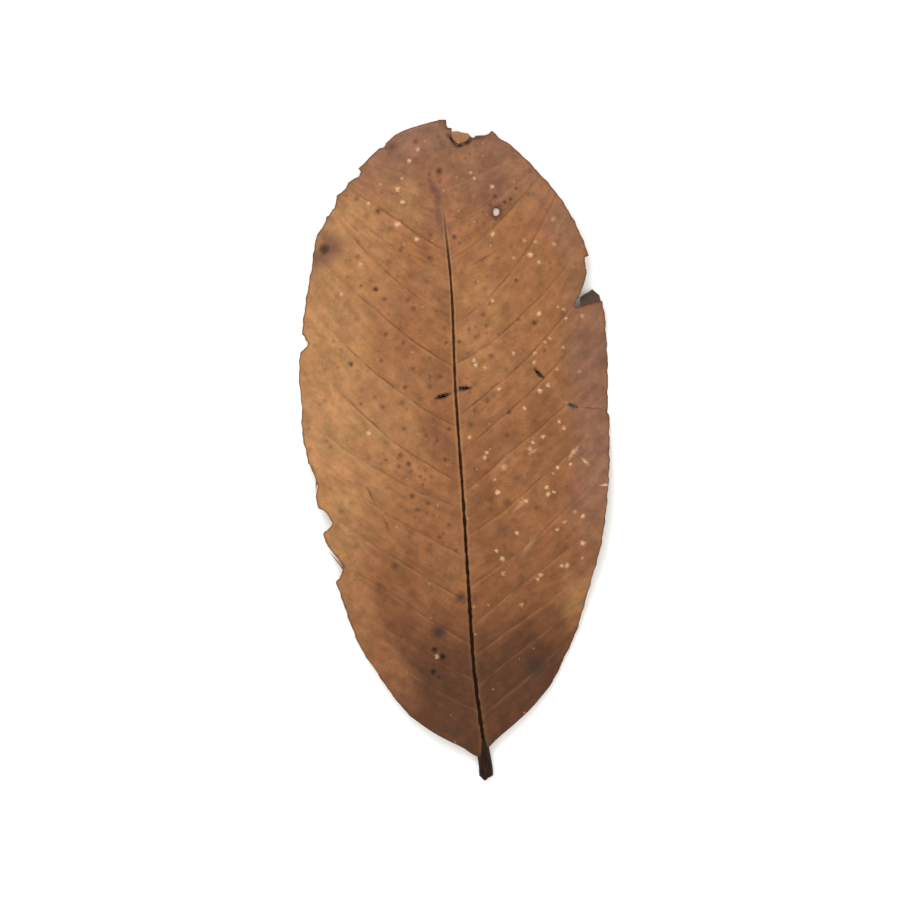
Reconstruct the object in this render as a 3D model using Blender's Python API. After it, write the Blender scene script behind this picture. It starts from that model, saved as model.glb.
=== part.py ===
"""A dried guava leaf, face up, as it lies on a table.

Blade, midrib, side veins and stalk grew as one piece, so they are one closed solid. X runs
across the leaf, Y along its midrib from the stalk to the tip, and Z up. Every size below is in
millimetres, and a place on the leaf is given from the foot of the blade, on the midrib.
"""

import math
import random

import bmesh
import bpy
import numpy as np
from mathutils import Vector

MM = 0.001

# Outline of each half of the blade before it tore, from the foot to the tip: distance from the
# middle, and distance along the leaf. The first knots are the lower edge, up to the side.
# Where the edge is missing they are guessed.
LEFT_EDGE = [
    (0.3, -1.6), (2.0, -0.9), (4.0, 0.7), (6.0, 1.9), (9.0, 3.8), (12.0, 6.2), (13.8, 8.0),
    (16.6, 12.0), (18.9, 16.0), (21.2, 20.0), (22.9, 25.0), (24.2, 30.0), (24.9, 32.4),
    (25.5, 35.5), (26.3, 40.0), (26.6, 41.5), (27.2, 46.0), (27.7, 51.0), (28.3, 55.0),
    (29.0, 60.0), (28.8, 65.0), (28.9, 70.0), (28.4, 74.5), (27.4, 80.0), (26.3, 85.0),
    (25.0, 90.0), (23.9, 95.0), (22.0, 98.0), (21.6, 99.1), (19.6, 102.6), (17.9, 104.9),
    (15.2, 107.5), (12.3, 110.0), (9.7, 112.0), (8.0, 113.2), (6.0, 114.0), (4.0, 114.4),
    (2.0, 114.7), (0.2, 115.1),
]
RIGHT_EDGE = [
    (0.3, -0.1), (1.0, 0.5), (3.0, 2.2), (6.0, 4.4), (9.0, 6.8), (12.0, 9.7), (13.7, 12.0),
    (16.0, 16.0), (18.2, 20.0), (20.1, 25.0), (21.9, 30.0), (23.7, 35.0), (24.9, 40.0),
    (25.8, 45.0), (26.5, 50.0), (26.9, 55.0), (27.2, 59.2), (27.0, 60.0), (27.4, 65.0),
    (27.7, 70.0), (27.7, 75.0), (27.7, 78.0), (27.4, 79.5), (26.6, 84.0), (25.5, 88.4),
    (25.1, 90.0), (23.3, 95.0), (20.7, 100.0), (17.0, 105.0), (14.5, 108.0), (12.5, 110.0),
    (11.0, 111.1), (9.6, 112.6), (6.5, 114.2), (3.0, 115.0), (0.2, 115.2),
]
FOOT_KNOTS = 6
LINE_STEPS = 12
WIDEST = 34.0
NARROWEST = 6.0
ON_EDGE = 0.01

# Side veins: how far along the leaf each one is where it leaves the midrib, and one and two
# vein stations outwards. Where the outer place is past the edge, it only sets the curve.
VEIN_STATION = 10.0
LEFT_VEINS = [
    (7.0, 13.5, 21.5), (12.8, 19.0, 26.1), (19.0, 26.2, 33.4), (27.0, 33.6, 40.9),
    (35.4, 41.3, 48.5), (44.0, 48.9, 55.6), (48.8, 55.5, 65.2), (59.0, 65.8, 75.5),
    (69.7, 77.5, 87.5), (78.8, 86.4, 99.0), (87.2, 92.8, 102.0), (90.6, 98.3, 106.5),
    (97.0, 102.5, 107.5), (103.5, 107.0, 113.0),
]
RIGHT_VEINS = [
    (6.0, 13.5, 21.5), (11.6, 18.9, 25.7), (17.3, 23.7, 30.5), (22.8, 30.0, 36.8),
    (29.9, 36.2, 44.2), (38.8, 45.4, 53.4), (47.0, 54.4, 61.9), (54.4, 61.7, 70.4),
    (61.0, 68.0, 77.4), (70.2, 76.3, 85.5), (77.9, 85.1, 98.9), (89.1, 95.8, 106.0),
    (95.3, 100.4, 106.8), (102.2, 106.0, 110.6),
]
VEINS = {-1: LEFT_VEINS, 1: RIGHT_VEINS}
TOPS = {-1: (115.0, 113.8, 112.6), 1: (115.1, 114.6, 114.1)}

# The midrib bows a little to the left: (distance along the leaf, distance to the right).
MIDRIB_LINE = [(0.0, 0.0), (11.0, -0.7), (20.0, -0.9), (44.0, -0.6), (66.0, -0.5), (84.0, 0.1),
               (100.0, -0.3), (115.0, 0.0)]

# Thickness and relief. Veins are sunk in the upper face and stand proud of the lower one. The
# blade puffs up between the side veins, where rungs of finer veins cross it. The relief fades
# towards the edge, and the midrib's sizes are those at the foot and at the tip.
BLADE_THICK = 0.68
VEIN_SUNK = 0.26
VEIN_PROUD = 0.46
VEIN_FOOT = 0.85
FIELD_PUFF = 0.30
RUNG_SUNK = 0.07
RUNG_PROUD = 0.20
RUNG_EVERY = 3
RUNG_MARGIN = 0.12
EDGE_FADE = 0.75
MIDRIB_HALF = 0.45
MIDRIB_FOOT = 1.15
MIDRIB_SUNK = (0.42, 0.12)
MIDRIB_PROUD = (1.15, 0.35)
MIDRIB_END = 112.0
MIDRIB_TAPER = 0.7

# How many columns of points run from the midrib to the edge, and how far apart the rows are
# between two veins and above the last one.
COLUMNS = 17
ROW_STEP = 2.5
TIP_ROW_STEP = 2.2

# How the blade lies: the midrib arches over the table, and each edge comes down to it in one
# low place and waves up on both sides of that place.
RIDGE_LOW = 1.7
RIDGE_ARCH = 4.9
RIDGE_START = -8.0
RIDGE_SPAN = 152.0
RESTS = {-1: 69.5, 1: 66.0}
WAVE_LENGTHS = {-1: 45.0, 1: 51.0}
WAVE_LIFTS = {-1: 2.6, 1: 3.0}
EDGE_CLIMB = 0.016
ROUNDING = 1.6
REST_FLAT = 3.0
REST_EASE = 7.0

# Stalk: (distance along the leaf, distance to the right, height of its middle, half width).
# It runs under the blade into the midrib.
STALK = [(9.0, -0.6, 2.45, 0.4), (4.0, -0.3, 1.75, 0.65), (0.8, -0.2, 1.34, 0.9),
         (-1.0, -0.2, 1.17, 1.15), (-3.0, -0.05, 1.12, 1.2), (-4.6, -0.05, 1.17, 1.25),
         (-7.0, -0.05, 1.17, 1.25)]
STALK_ROUNDNESS = 3

# Heights that every cut goes through.
CUT_FROM = -5.0
CUT_TO = 15.0

# Torn places, each the outline of what is missing, seen from above.
TORN = {
    "left edge bites": [
        (-32.0, 54.5), (-28.1, 54.3), (-27.3, 52.0), (-26.9, 50.6), (-26.9, 50.0), (-27.3, 49.7),
        (-27.4, 48.5), (-27.2, 47.0), (-27.0, 46.1), (-26.2, 45.7), (-25.5, 45.1), (-25.0, 44.0),
        (-24.6, 43.2), (-25.0, 42.6), (-25.7, 42.0), (-26.3, 41.7), (-26.5, 41.3), (-26.2, 40.0),
        (-25.7, 38.7), (-25.6, 38.0), (-25.1, 37.3), (-24.4, 37.1), (-23.9, 36.0), (-23.1, 35.2),
        (-23.7, 34.0), (-24.2, 33.0), (-24.7, 32.7), (-24.9, 32.3), (-32.0, 32.0),
    ],
    "left notch": [(-32.0, 78.6), (-27.8, 78.1), (-27.3, 77.6), (-27.2, 77.0), (-26.7, 76.5),
                   (-26.8, 76.0), (-27.5, 75.4), (-28.3, 74.8), (-32.0, 74.5)],
    "upper left step": [(-24.0, 99.5), (-21.6, 99.1), (-21.1, 99.3), (-20.6, 100.1),
                        (-20.1, 100.5), (-19.8, 101.5), (-19.5, 102.5), (-23.0, 102.7)],
    "upper left nick": [(-18.0, 108.2), (-15.2, 107.5), (-14.8, 106.8), (-15.2, 106.0),
                        (-16.2, 105.6), (-17.3, 105.0), (-17.7, 104.1), (-18.6, 103.3),
                        (-19.4, 102.9), (-22.0, 103.6)],
    "tip nick": [(-12.6, 113.4), (-9.8, 112.0), (-10.0, 111.5), (-10.1, 110.9), (-10.5, 111.1),
                 (-11.1, 110.9), (-14.6, 110.6)],
    "broken tip": [
        (1.3, 118.0), (1.4, 115.2), (1.4, 114.0), (1.6, 113.5), (2.3, 113.4), (2.2, 112.8),
        (3.6, 112.7), (4.4, 112.3), (5.2, 112.2), (5.8, 111.5), (6.2, 111.4), (6.6, 111.8),
        (8.3, 111.8), (9.1, 112.1), (9.5, 112.6), (12.0, 114.0), (12.0, 118.0),
    ],
    "right tear": [
        (31.0, 88.9), (25.5, 88.4), (24.8, 88.2), (24.7, 87.5), (24.9, 85.3), (24.5, 84.0),
        (24.1, 83.0), (23.6, 81.9), (23.2, 81.1), (22.5, 80.3), (22.3, 79.6), (22.6, 79.2),
        (23.1, 79.3), (26.9, 80.0), (31.0, 80.6),
    ],
    "worm hole": [(8.7, 97.0), (9.2, 96.7), (9.8, 97.1), (9.9, 97.8), (9.5, 98.3), (8.9, 98.3),
                  (8.6, 97.7)],
    "slit by the midrib, left": [(-4.3, 64.5), (-3.5, 64.4), (-2.4, 64.6), (-1.45, 65.2),
                                 (-2.6, 65.2), (-3.6, 65.0)],
    "slit by the midrib, right": [(0.2, 65.65), (1.2, 65.6), (2.4, 65.95), (1.2, 66.25),
                                  (0.2, 66.2)],
    "curved slit": [(14.1, 68.6), (14.3, 67.9), (14.8, 67.2), (15.7, 66.8), (15.3, 67.5),
                    (14.8, 68.1)],
    "slit near the right edge": [(19.75, 61.75), (20.4, 61.15), (21.5, 61.05), (21.0, 61.55),
                                 (20.3, 61.85)],
}
UNDER_STALK = [(-3.0, -9.0), (3.0, -9.0), (3.0, 0.0), (-3.0, 0.0)]
STALK_END = [(-3.0, -4.3), (-1.3, -4.6), (-1.1, -5.0), (-0.8, -5.3), (-0.5, -5.6),
             (-0.3, -5.65), (0.0, -5.5), (0.2, -5.3), (0.4, -5.15), (1.1, -5.0), (1.2, -4.8),
             (3.0, -4.6), (3.0, -9.0), (-3.0, -9.0)]

# Scraps that still hang on the blade: outline seen from above, the two ends of the fold, how
# much the scrap rises for each millimetre from the fold, and how far it stands over the blade
# at the fold.
BENT_SCRAP = ([(23.1, 78.9), (23.5, 81.1), (24.8, 81.8), (25.8, 82.4), (27.0, 81.2), (27.2, 79.6)],
              (23.1, 79.3), (26.9, 80.0), -0.74, 0.0)
FOLDED_SCRAP = ([(2.1, 112.8), (5.2, 112.2), (5.5, 111.6), (4.7, 110.9), (3.3, 110.4),
                 (2.4, 111.3)],
                (2.1, 112.7), (5.5, 111.6), 0.28, 0.42)
SCRAP_THICK = 0.62


def clear_scene():
    for obj in list(bpy.data.objects):
        bpy.data.objects.remove(obj)


def smooth_line(knots, steps=LINE_STEPS):
    """Points of a smooth curve through the knots."""
    points = np.array(knots)
    padded = np.vstack([2 * points[0] - points[1], points, 2 * points[-1] - points[-2]])
    line = []
    for before, start, end, after in zip(padded, padded[1:], padded[2:], padded[3:]):
        for step in range(steps):
            t = step / steps
            line.append(0.5 * (
                2 * start + (end - before) * t
                + (2 * before - 5 * start + 4 * end - after) * t * t
                + (3 * start - before - 3 * end + after) * t ** 3
            ))
    line.append(points[-1])
    return np.array(line)


MIDRIB = smooth_line(MIDRIB_LINE)
EDGES = {-1: smooth_line(LEFT_EDGE), 1: smooth_line(RIGHT_EDGE)}
FEET = {side: EDGES[side][:(FOOT_KNOTS - 1) * LINE_STEPS + 1] for side in EDGES}


def midrib_x(y):
    return float(np.interp(y, MIDRIB[:, 0], MIDRIB[:, 1]))


def edge_x(side, y):
    """Distance from the middle to the whole edge of one half, at a place along the leaf."""
    edge = EDGES[side]
    return float(np.interp(y, edge[:, 1], edge[:, 0]))


def vein_line(vein):
    """A side vein's place along the leaf, as a function of the distance from the middle: the
    parabola through its three places."""
    start, near, far = vein
    rise = (4 * (near - start) - (far - start)) / (2 * VEIN_STATION)
    bend = (far - 2 * near + start) / VEIN_STATION ** 2
    return lambda out: start + rise * out + 0.5 * bend * out * out


def foot_line(side):
    """The blade's lower edge, carried on past its end at the slope that it has there."""
    foot = FEET[side]
    slope = (foot[-1, 1] - foot[-4, 1]) / (foot[-1, 0] - foot[-4, 0])

    def line(out):
        if out > foot[-1, 0]:
            return foot[-1, 1] + slope * (out - foot[-1, 0])
        return float(np.interp(out, foot[:, 0], foot[:, 1]))

    return line


def blend(first, second, share):
    return lambda out: (1 - share) * first(out) + share * second(out)


def rows_of(side):
    """Each row of points of one half: (its line, share of the way to the next vein, is it a
    vein, number of its field). Rows follow the veins, and lie at both feet of each one."""
    guides = [foot_line(side)] + [vein_line(vein) for vein in VEINS[side] + [TOPS[side]]]
    rows = []
    for field, (lower, upper) in enumerate(zip(guides, guides[1:])):
        span = upper(0) - lower(0)
        above_last = field == len(guides) - 2
        step = TIP_ROW_STEP if above_last else ROW_STEP
        low = VEIN_FOOT if field else 0.0
        high = span if above_last else span - VEIN_FOOT
        between = max(2, round((high - low) / step) + 1)
        shares = [low / span + (high - low) / span * n / (between - 1) for n in range(between)]
        if field:
            rows.append((lower, 0.0, True, field))
        rows += [(blend(lower, upper, share), share, False, field) for share in shares]
    return rows


def reach_of(line, side):
    """How far out a row meets the edge."""
    near, far = 0.0, WIDEST
    for _ in range(40):
        middle = 0.5 * (near + far)
        if middle < edge_x(side, line(middle)) + ON_EDGE:
            near = middle
        else:
            far = middle
    return near


def ridge_height(y):
    return RIDGE_LOW + RIDGE_ARCH * math.sin(math.pi * (y - RIDGE_START) / RIDGE_SPAN)


def edge_height(side, y):
    gap = abs(y - RESTS[side])
    wave = 0.5 * WAVE_LIFTS[side] * (1 - math.cos(2 * math.pi * gap / WAVE_LENGTHS[side]))
    return BLADE_THICK + wave + EDGE_CLIMB * gap


def off_rest(x, y):
    """0 where the edge is pressed flat on the table, and 1 a little way off."""
    side = -1 if x < 0 else 1
    rest = RESTS[side]
    gap = math.hypot(x - side * edge_x(side, rest), y - rest)
    ease = min(1.0, max(0.0, (gap - REST_FLAT) / REST_EASE))
    return ease * ease * (3 - 2 * ease)


def lie(x, y):
    """Height of the blade's upper face over the table, without its relief."""
    side = -1 if x < 0 else 1
    out = min(1.0, abs(x) / max(edge_x(side, y), NARROWEST))
    ridge = ridge_height(y)
    height = ridge + (edge_height(side, y) - ridge) * out ** ROUNDING
    return BLADE_THICK + (height - BLADE_THICK) * off_rest(x, y)


def taper(ends, y):
    """A size that shrinks from the foot of the blade to its tip."""
    share = min(1.0, max(0.0, y / MIDRIB_END))
    return ends[0] + (ends[1] - ends[0]) * share ** MIDRIB_TAPER


def column_places(reach):
    """Distances from the midrib of one row's points: the midrib's own two, then even steps."""
    squeeze = min(1.0, reach / NARROWEST)
    near = [MIDRIB_HALF * squeeze, MIDRIB_FOOT * squeeze]
    left = COLUMNS - 1
    return near + [near[1] + (reach - near[1]) * n / left for n in range(1, left + 1)]


def relief(row, column, out, whole, rung_start):
    """How far the upper face is sunk and the lower face stands proud, beside the midrib."""
    share, is_vein = row[1:3]
    fade = 1 - EDGE_FADE * (out / max(whole, NARROWEST)) ** 2
    if is_vein:
        return VEIN_SUNK * fade, VEIN_PROUD * fade
    puff = FIELD_PUFF * math.sin(math.pi * share) * fade
    on_rung = (column + rung_start) % RUNG_EVERY == 0 and column < COLUMNS
    if on_rung and RUNG_MARGIN < share < 1 - RUNG_MARGIN:
        return RUNG_SUNK - puff, RUNG_PROUD - puff
    return -puff, -puff


def half_blade(bm, lower, side, draw):
    """One half of the blade's upper face. The lower face's height is kept on each point."""
    rows = rows_of(side)
    grid = bmesh.ops.create_grid(bm, x_segments=COLUMNS, y_segments=len(rows) - 1, size=1)
    rung_starts = [draw.randrange(RUNG_EVERY) for _ in rows]
    reaches = [reach_of(row[0], side) for row in rows]
    inner = set()
    for point in grid["verts"]:
        column = round((point.co.x + 1) / 2 * COLUMNS)
        number = round((point.co.y + 1) / 2 * (len(rows) - 1))
        row = rows[number]
        out = column_places(reaches[number])[column]
        y = row[0](out)
        whole = max(edge_x(side, y), MIDRIB_HALF)
        x = side * out + midrib_x(y) * max(0.0, 1 - out / whole)
        sunk = proud = 0.0
        if column == 0:
            sunk, proud = taper(MIDRIB_SUNK, y), taper(MIDRIB_PROUD, y)
            inner.add(point)
        elif column > 1:
            sunk, proud = relief(row, column, out, whole, rung_starts[row[3]])
            sunk *= off_rest(x, y)
            proud *= off_rest(x, y)
        height = lie(x, y)
        point[lower] = max(0.0, height - BLADE_THICK - proud) * MM
        point.co = (x * MM, y * MM, (height - sunk) * MM)
    return [e for e in bm.edges if e.verts[0] in inner and e.verts[1] in inner]


def blade_mesh():
    """Both halves, joined along the midrib, given their thickness and made one closed solid.
    The faces are cut into triangles first, so that both sides are cut alike."""
    bm = bmesh.new()
    lower = bm.verts.layers.float.new("lower face")
    draw = random.Random(5)
    edges = half_blade(bm, lower, -1, draw) + half_blade(bm, lower, 1, draw)
    bmesh.ops.bridge_loops(bm, edges=edges)
    bmesh.ops.triangulate(bm, faces=bm.faces[:], quad_method="SHORT_EDGE")
    below = bmesh.ops.extrude_face_region(bm, geom=bm.faces[:], use_keep_orig=True)["geom"]
    for point in below:
        if isinstance(point, bmesh.types.BMVert):
            point.co.z = point[lower]
    bmesh.ops.recalc_face_normals(bm, faces=bm.faces[:])
    mesh = bpy.data.meshes.new("leaf")
    bm.to_mesh(mesh)
    bm.free()
    return mesh


def mesh_from_curve(curve_object, collection):
    """Turns a curve into a closed mesh object, with its caps welded, and removes the curve."""
    graph = bpy.context.evaluated_depsgraph_get()
    mesh = bpy.data.meshes.new_from_object(curve_object.evaluated_get(graph))
    bm = bmesh.new()
    bm.from_mesh(mesh)
    bmesh.ops.remove_doubles(bm, verts=bm.verts[:], dist=1e-6)
    bmesh.ops.recalc_face_normals(bm, faces=bm.faces[:])
    bm.to_mesh(mesh)
    bm.free()
    made = bpy.data.objects.new(curve_object.name, mesh)
    made.matrix_world = curve_object.matrix_world
    bpy.data.objects.remove(curve_object)
    made.hide_render = True
    made.display_type = "WIRE"
    collection.objects.link(made)
    return made


def prism(name, outline, bottom, top, collection):
    """A flat outline, seen from above, made a solid between two heights."""
    curve = bpy.data.curves.new(name, "CURVE")
    curve.dimensions = "2D"
    curve.fill_mode = "BOTH"
    curve.extrude = 0.5 * (top - bottom) * MM
    spline = curve.splines.new("POLY")
    spline.points.add(len(outline) - 1)
    for point, (x, y) in zip(spline.points, outline):
        point.co = (x * MM, y * MM, 0.0, 1.0)
    spline.use_cyclic_u = True
    made = bpy.data.objects.new(name, curve)
    made.location.z = 0.5 * (top + bottom) * MM
    collection.objects.link(made)
    bpy.context.view_layer.update()
    return mesh_from_curve(made, collection)


def stalk(collection):
    """The stalk, a round rod that runs into the midrib under the blade."""
    curve = bpy.data.curves.new("stalk", "CURVE")
    curve.dimensions = "3D"
    curve.bevel_depth = MM
    curve.bevel_resolution = STALK_ROUNDNESS
    curve.use_fill_caps = True
    spline = curve.splines.new("POLY")
    spline.points.add(len(STALK) - 1)
    for point, (y, x, z, half) in zip(spline.points, STALK):
        point.co = (x * MM, y * MM, z * MM, 1.0)
        point.radius = half
    made = bpy.data.objects.new("stalk", curve)
    collection.objects.link(made)
    bpy.context.view_layer.update()
    return mesh_from_curve(made, collection)


def scrap(name, shape, collection):
    """A scrap of blade that hangs on by its fold, bent up or down from there."""
    outline, start, end, rise, above = shape
    made = prism(name, outline, -SCRAP_THICK, 0.0, collection)
    fold = Vector(end) - Vector(start)
    for point in made.data.vertices:
        place = Vector((point.co.x / MM, point.co.y / MM)) - Vector(start)
        along = fold * (place.dot(fold) / fold.length_squared)
        height = lie(start[0] + along.x, start[1] + along.y) + above
        point.co.z += (height + rise * (place - along).length) * MM


def carve(leaf, collection, operation):
    """Joins the collection's solids to the leaf, or cuts them from it, and removes them."""
    modifier = leaf.modifiers.new(operation.lower(), "BOOLEAN")
    modifier.operation = operation
    modifier.operand_type = "COLLECTION"
    modifier.collection = collection
    bpy.context.view_layer.update()
    graph = bpy.context.evaluated_depsgraph_get()
    whole = bpy.data.meshes.new_from_object(leaf.evaluated_get(graph))
    leaf.modifiers.clear()
    leaf.data = whole
    for helper in list(collection.objects):
        bpy.data.objects.remove(helper)


def dried_leaf_material():
    """Dry leaf skin: brown, dull, a little waxy."""
    material = bpy.data.materials.new("dry leaf")
    material.use_nodes = True
    surface = material.node_tree.nodes["Principled BSDF"]
    surface.inputs["Base Color"].default_value = (0.33, 0.16, 0.07, 1.0)
    surface.inputs["Roughness"].default_value = 0.7
    surface.inputs["Metallic"].default_value = 0.0
    return material


def centre_on_base(mesh):
    """Moves the leaf so that the origin is under its middle, on the table."""
    places = np.array([point.co for point in mesh.vertices])
    low, high = places.min(axis=0), places.max(axis=0)
    shift = (-0.5 * (low[0] + high[0]), -0.5 * (low[1] + high[1]), -low[2])
    for point in mesh.vertices:
        point.co.x += shift[0]
        point.co.y += shift[1]
        point.co.z += shift[2]


def build_leaf():
    home = bpy.data.collections.new("dried guava leaf")
    cutters = bpy.data.collections.new("torn away")
    joined = bpy.data.collections.new("grown on")
    for collection in (home, cutters, joined):
        bpy.context.scene.collection.children.link(collection)
    leaf = bpy.data.objects.new("leaf", blade_mesh())
    home.objects.link(leaf)
    stalk(joined)
    carve(leaf, joined, "UNION")
    for name, outline in TORN.items():
        prism(name, outline, CUT_FROM, CUT_TO, cutters)
    prism("stalk end", STALK_END, CUT_FROM, CUT_TO, cutters)
    prism("table under the stalk", UNDER_STALK, CUT_FROM, 0.0, cutters)
    carve(leaf, cutters, "DIFFERENCE")
    scrap("bent scrap", BENT_SCRAP, joined)
    scrap("folded scrap", FOLDED_SCRAP, joined)
    carve(leaf, joined, "UNION")
    leaf.data.materials.clear()
    leaf.data.materials.append(dried_leaf_material())
    centre_on_base(leaf.data)
    leaf.data.shade_smooth()
    leaf.data.set_sharp_from_angle(angle=math.radians(40))


clear_scene()
build_leaf()
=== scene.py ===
"""A dried guava leaf lying face up on a pale table, seen from above.

The blade, its veins, the midrib and the stalk grew as one leaf. Places on the leaf are given in
millimetres from the foot of the blade: across the leaf, to the right, and along it, to the tip.
"""

import math
import random

import bmesh
import bpy
import numpy as np
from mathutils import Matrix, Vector, kdtree, noise


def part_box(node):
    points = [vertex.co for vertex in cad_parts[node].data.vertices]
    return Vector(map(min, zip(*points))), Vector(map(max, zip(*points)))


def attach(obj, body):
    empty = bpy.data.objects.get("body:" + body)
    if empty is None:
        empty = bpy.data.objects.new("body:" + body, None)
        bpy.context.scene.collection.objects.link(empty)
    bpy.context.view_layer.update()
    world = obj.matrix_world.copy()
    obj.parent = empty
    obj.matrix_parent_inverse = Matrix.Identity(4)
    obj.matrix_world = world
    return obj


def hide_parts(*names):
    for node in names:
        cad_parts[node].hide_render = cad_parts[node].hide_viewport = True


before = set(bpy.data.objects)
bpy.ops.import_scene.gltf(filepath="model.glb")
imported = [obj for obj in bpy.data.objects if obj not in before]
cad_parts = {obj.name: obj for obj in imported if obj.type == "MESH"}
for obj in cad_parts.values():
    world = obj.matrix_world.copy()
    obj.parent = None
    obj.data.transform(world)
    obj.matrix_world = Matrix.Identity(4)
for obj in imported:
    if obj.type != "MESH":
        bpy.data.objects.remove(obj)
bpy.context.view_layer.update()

# Blade, in a left and a right half that meet at the bottom of the midrib's groove.
# Dry leaf tissue 0.3 mm thick, sunk along its veins on top and ribbed below, puffed up between
# the side veins, and torn and eaten at the edge after it fell. It lies on two low edges and the
# stalk, and is arched in between.
MM = 0.001

# Distance from the middle, and along the leaf, from the foot of the blade to the tip. Where the
# edge is missing it is guessed.
LEFT_EDGE = [
    (0.3, -1.6), (2.0, -0.9), (4.0, 0.7), (6.0, 1.9), (9.0, 3.8), (12.0, 6.2), (13.8, 8.0),
    (16.6, 12.0), (18.9, 16.0), (21.2, 20.0), (22.9, 25.0), (24.2, 30.0), (24.9, 32.4),
    (25.5, 35.5), (26.3, 40.0), (26.6, 41.5), (27.2, 46.0), (27.7, 51.0), (28.3, 55.0),
    (29.0, 60.0), (28.8, 65.0), (28.9, 70.0), (28.4, 74.5), (27.4, 80.0), (26.3, 85.0),
    (25.0, 90.0), (23.9, 95.0), (22.0, 98.0), (21.6, 99.1), (19.6, 102.6), (17.9, 104.9),
    (15.2, 107.5), (12.3, 110.0), (9.7, 112.0), (8.0, 113.2), (6.0, 114.0), (4.0, 114.4),
    (2.0, 114.7), (0.2, 115.1),
]
RIGHT_EDGE = [
    (0.3, -0.1), (1.0, 0.5), (3.0, 2.2), (6.0, 4.4), (9.0, 6.8), (12.0, 9.7), (13.7, 12.0),
    (16.0, 16.0), (18.2, 20.0), (20.1, 25.0), (21.9, 30.0), (23.7, 35.0), (24.9, 40.0),
    (25.8, 45.0), (26.5, 50.0), (26.9, 55.0), (27.2, 59.2), (27.0, 60.0), (27.4, 65.0),
    (27.7, 70.0), (27.7, 75.0), (27.7, 78.0), (27.4, 79.5), (26.6, 84.0), (25.5, 88.4),
    (25.1, 90.0), (23.3, 95.0), (20.7, 100.0), (17.0, 105.0), (14.5, 108.0), (12.5, 110.0),
    (11.0, 111.1), (9.6, 112.6), (6.5, 114.2), (3.0, 115.0), (0.2, 115.2),
]
FOOT_KNOTS = 6
LINE_STEPS = 12
WIDEST = 34.0
NARROWEST = 6.0

# Small unevenness of a grown edge: (height, length of one wave).
EDGE_RIPPLES = ((0.06, 3.7), (0.045, 1.9))

# Side veins: how far along the leaf each one is where it leaves the midrib, and one and two vein
# stations outwards, and how strongly its dark and its light line show: painted shade on the tip
# side of its groove and painted highlight on the foot side. Where the outer place is past the
# edge, it only sets the curve.
VEIN_STATION = 10.0
LEFT_VEINS = [
    (7.0, 13.5, 21.5, 0.25, 0.4), (12.8, 19.0, 26.1, 0.35, 0.4),
    (19.0, 26.2, 33.4, 0.5, 0.6), (27.0, 33.6, 40.9, 0.65, 0.7),
    (35.4, 41.3, 48.5, 0.6, 0.7), (44.0, 48.9, 55.6, 0.6, 0.8),
    (48.8, 55.5, 65.2, 1.0, 0.9), (59.0, 65.8, 75.5, 1.0, 0.8),
    (69.7, 77.5, 87.5, 0.95, 0.9), (78.8, 86.4, 99.0, 0.8, 0.7),
    (87.2, 92.8, 102.0, 0.3, 0.3), (90.6, 98.3, 106.5, 0.8, 0.7),
    (97.0, 102.5, 107.5, 0.2, 0.2), (103.5, 107.0, 113.0, 0.15, 0.2),
]
RIGHT_VEINS = [
    (6.0, 13.5, 21.5, 0.25, 0.5), (11.6, 18.9, 25.7, 0.3, 0.6),
    (17.3, 23.7, 30.5, 0.45, 0.7), (22.8, 30.0, 36.8, 0.4, 0.7),
    (29.9, 36.2, 44.2, 0.5, 0.8), (38.8, 45.4, 53.4, 0.5, 0.8),
    (47.0, 54.4, 61.9, 0.7, 0.8), (54.4, 61.7, 70.4, 0.7, 0.6),
    (61.0, 68.0, 77.4, 0.9, 0.8), (70.2, 76.3, 85.5, 0.8, 0.8),
    (77.9, 85.1, 98.9, 0.6, 0.5), (89.1, 95.8, 106.0, 0.4, 0.4),
    (95.3, 100.4, 106.8, 0.3, 0.3), (102.2, 106.0, 110.6, 0.2, 0.2),
]
VEINS = {-1: LEFT_VEINS, 1: RIGHT_VEINS}
TOPS = {-1: (115.0, 113.8, 112.6), 1: (115.1, 114.6, 114.1)}

# The midrib bows a little to the left: (distance along the leaf, distance to the right).
MIDRIB_LINE = [(0.0, 0.0), (11.0, -0.7), (20.0, -0.9), (44.0, -0.6), (66.0, -0.5), (84.0, 0.1),
               (100.0, -0.3), (115.0, 0.0)]
MIDRIB_END = 112.0
STALK_TIP = -5.65

# How the leaf lies: the midrib arches over the table, and each edge comes down to it in one low
# place and waves up on both sides of that place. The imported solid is 0.68 mm thick, and the real
# blade keeps to the lower side of it.
RIDGE_LOW = 1.7
RIDGE_ARCH = 4.9
RIDGE_START = -8.0
RIDGE_SPAN = 152.0
RESTS = {-1: 69.5, 1: 66.0}
WAVE_LENGTHS = {-1: 45.0, 1: 51.0}
WAVE_LIFTS = {-1: 2.6, 1: 3.0}
EDGE_CLIMB = 0.016
ROUNDING = 1.6
REST_FLAT = 3.0
REST_EASE = 7.0
SOLID_THICK = 0.68
BLADE_THICK = 0.3

# Relief. Depths are those by the midrib; all fade to a quarter at the edge.
EDGE_FADE = 0.75
FIELD_PUFF = 0.30
VEIN_VALLEY = (0.05, 0.60)
VEIN_GROOVE = (0.09, 0.16)
VEIN_RIB = (0.42, 0.30)
RUNG_SPACING = (1.6, 3.0)
RUNG_SLANT = 0.9
RUNG_GROOVE = (0.05, 0.16)
RUNG_RIB = (0.15, 0.17)
VEIN_WANDER = ((0.12, 1.9), (0.05, 0.7))
GROOVE_HALF = (0.47, 0.21)
GROOVE_DEPTH = (0.42, 0.12)
SHOULDER = (0.07, 1.15, 0.5)
BUCKLES = ((0.16, 9.0), (0.05, 2.6))
EDGE_ROLL = (0.22, 1.6)
RUNG_BEND = (0.25, 9.0)

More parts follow.
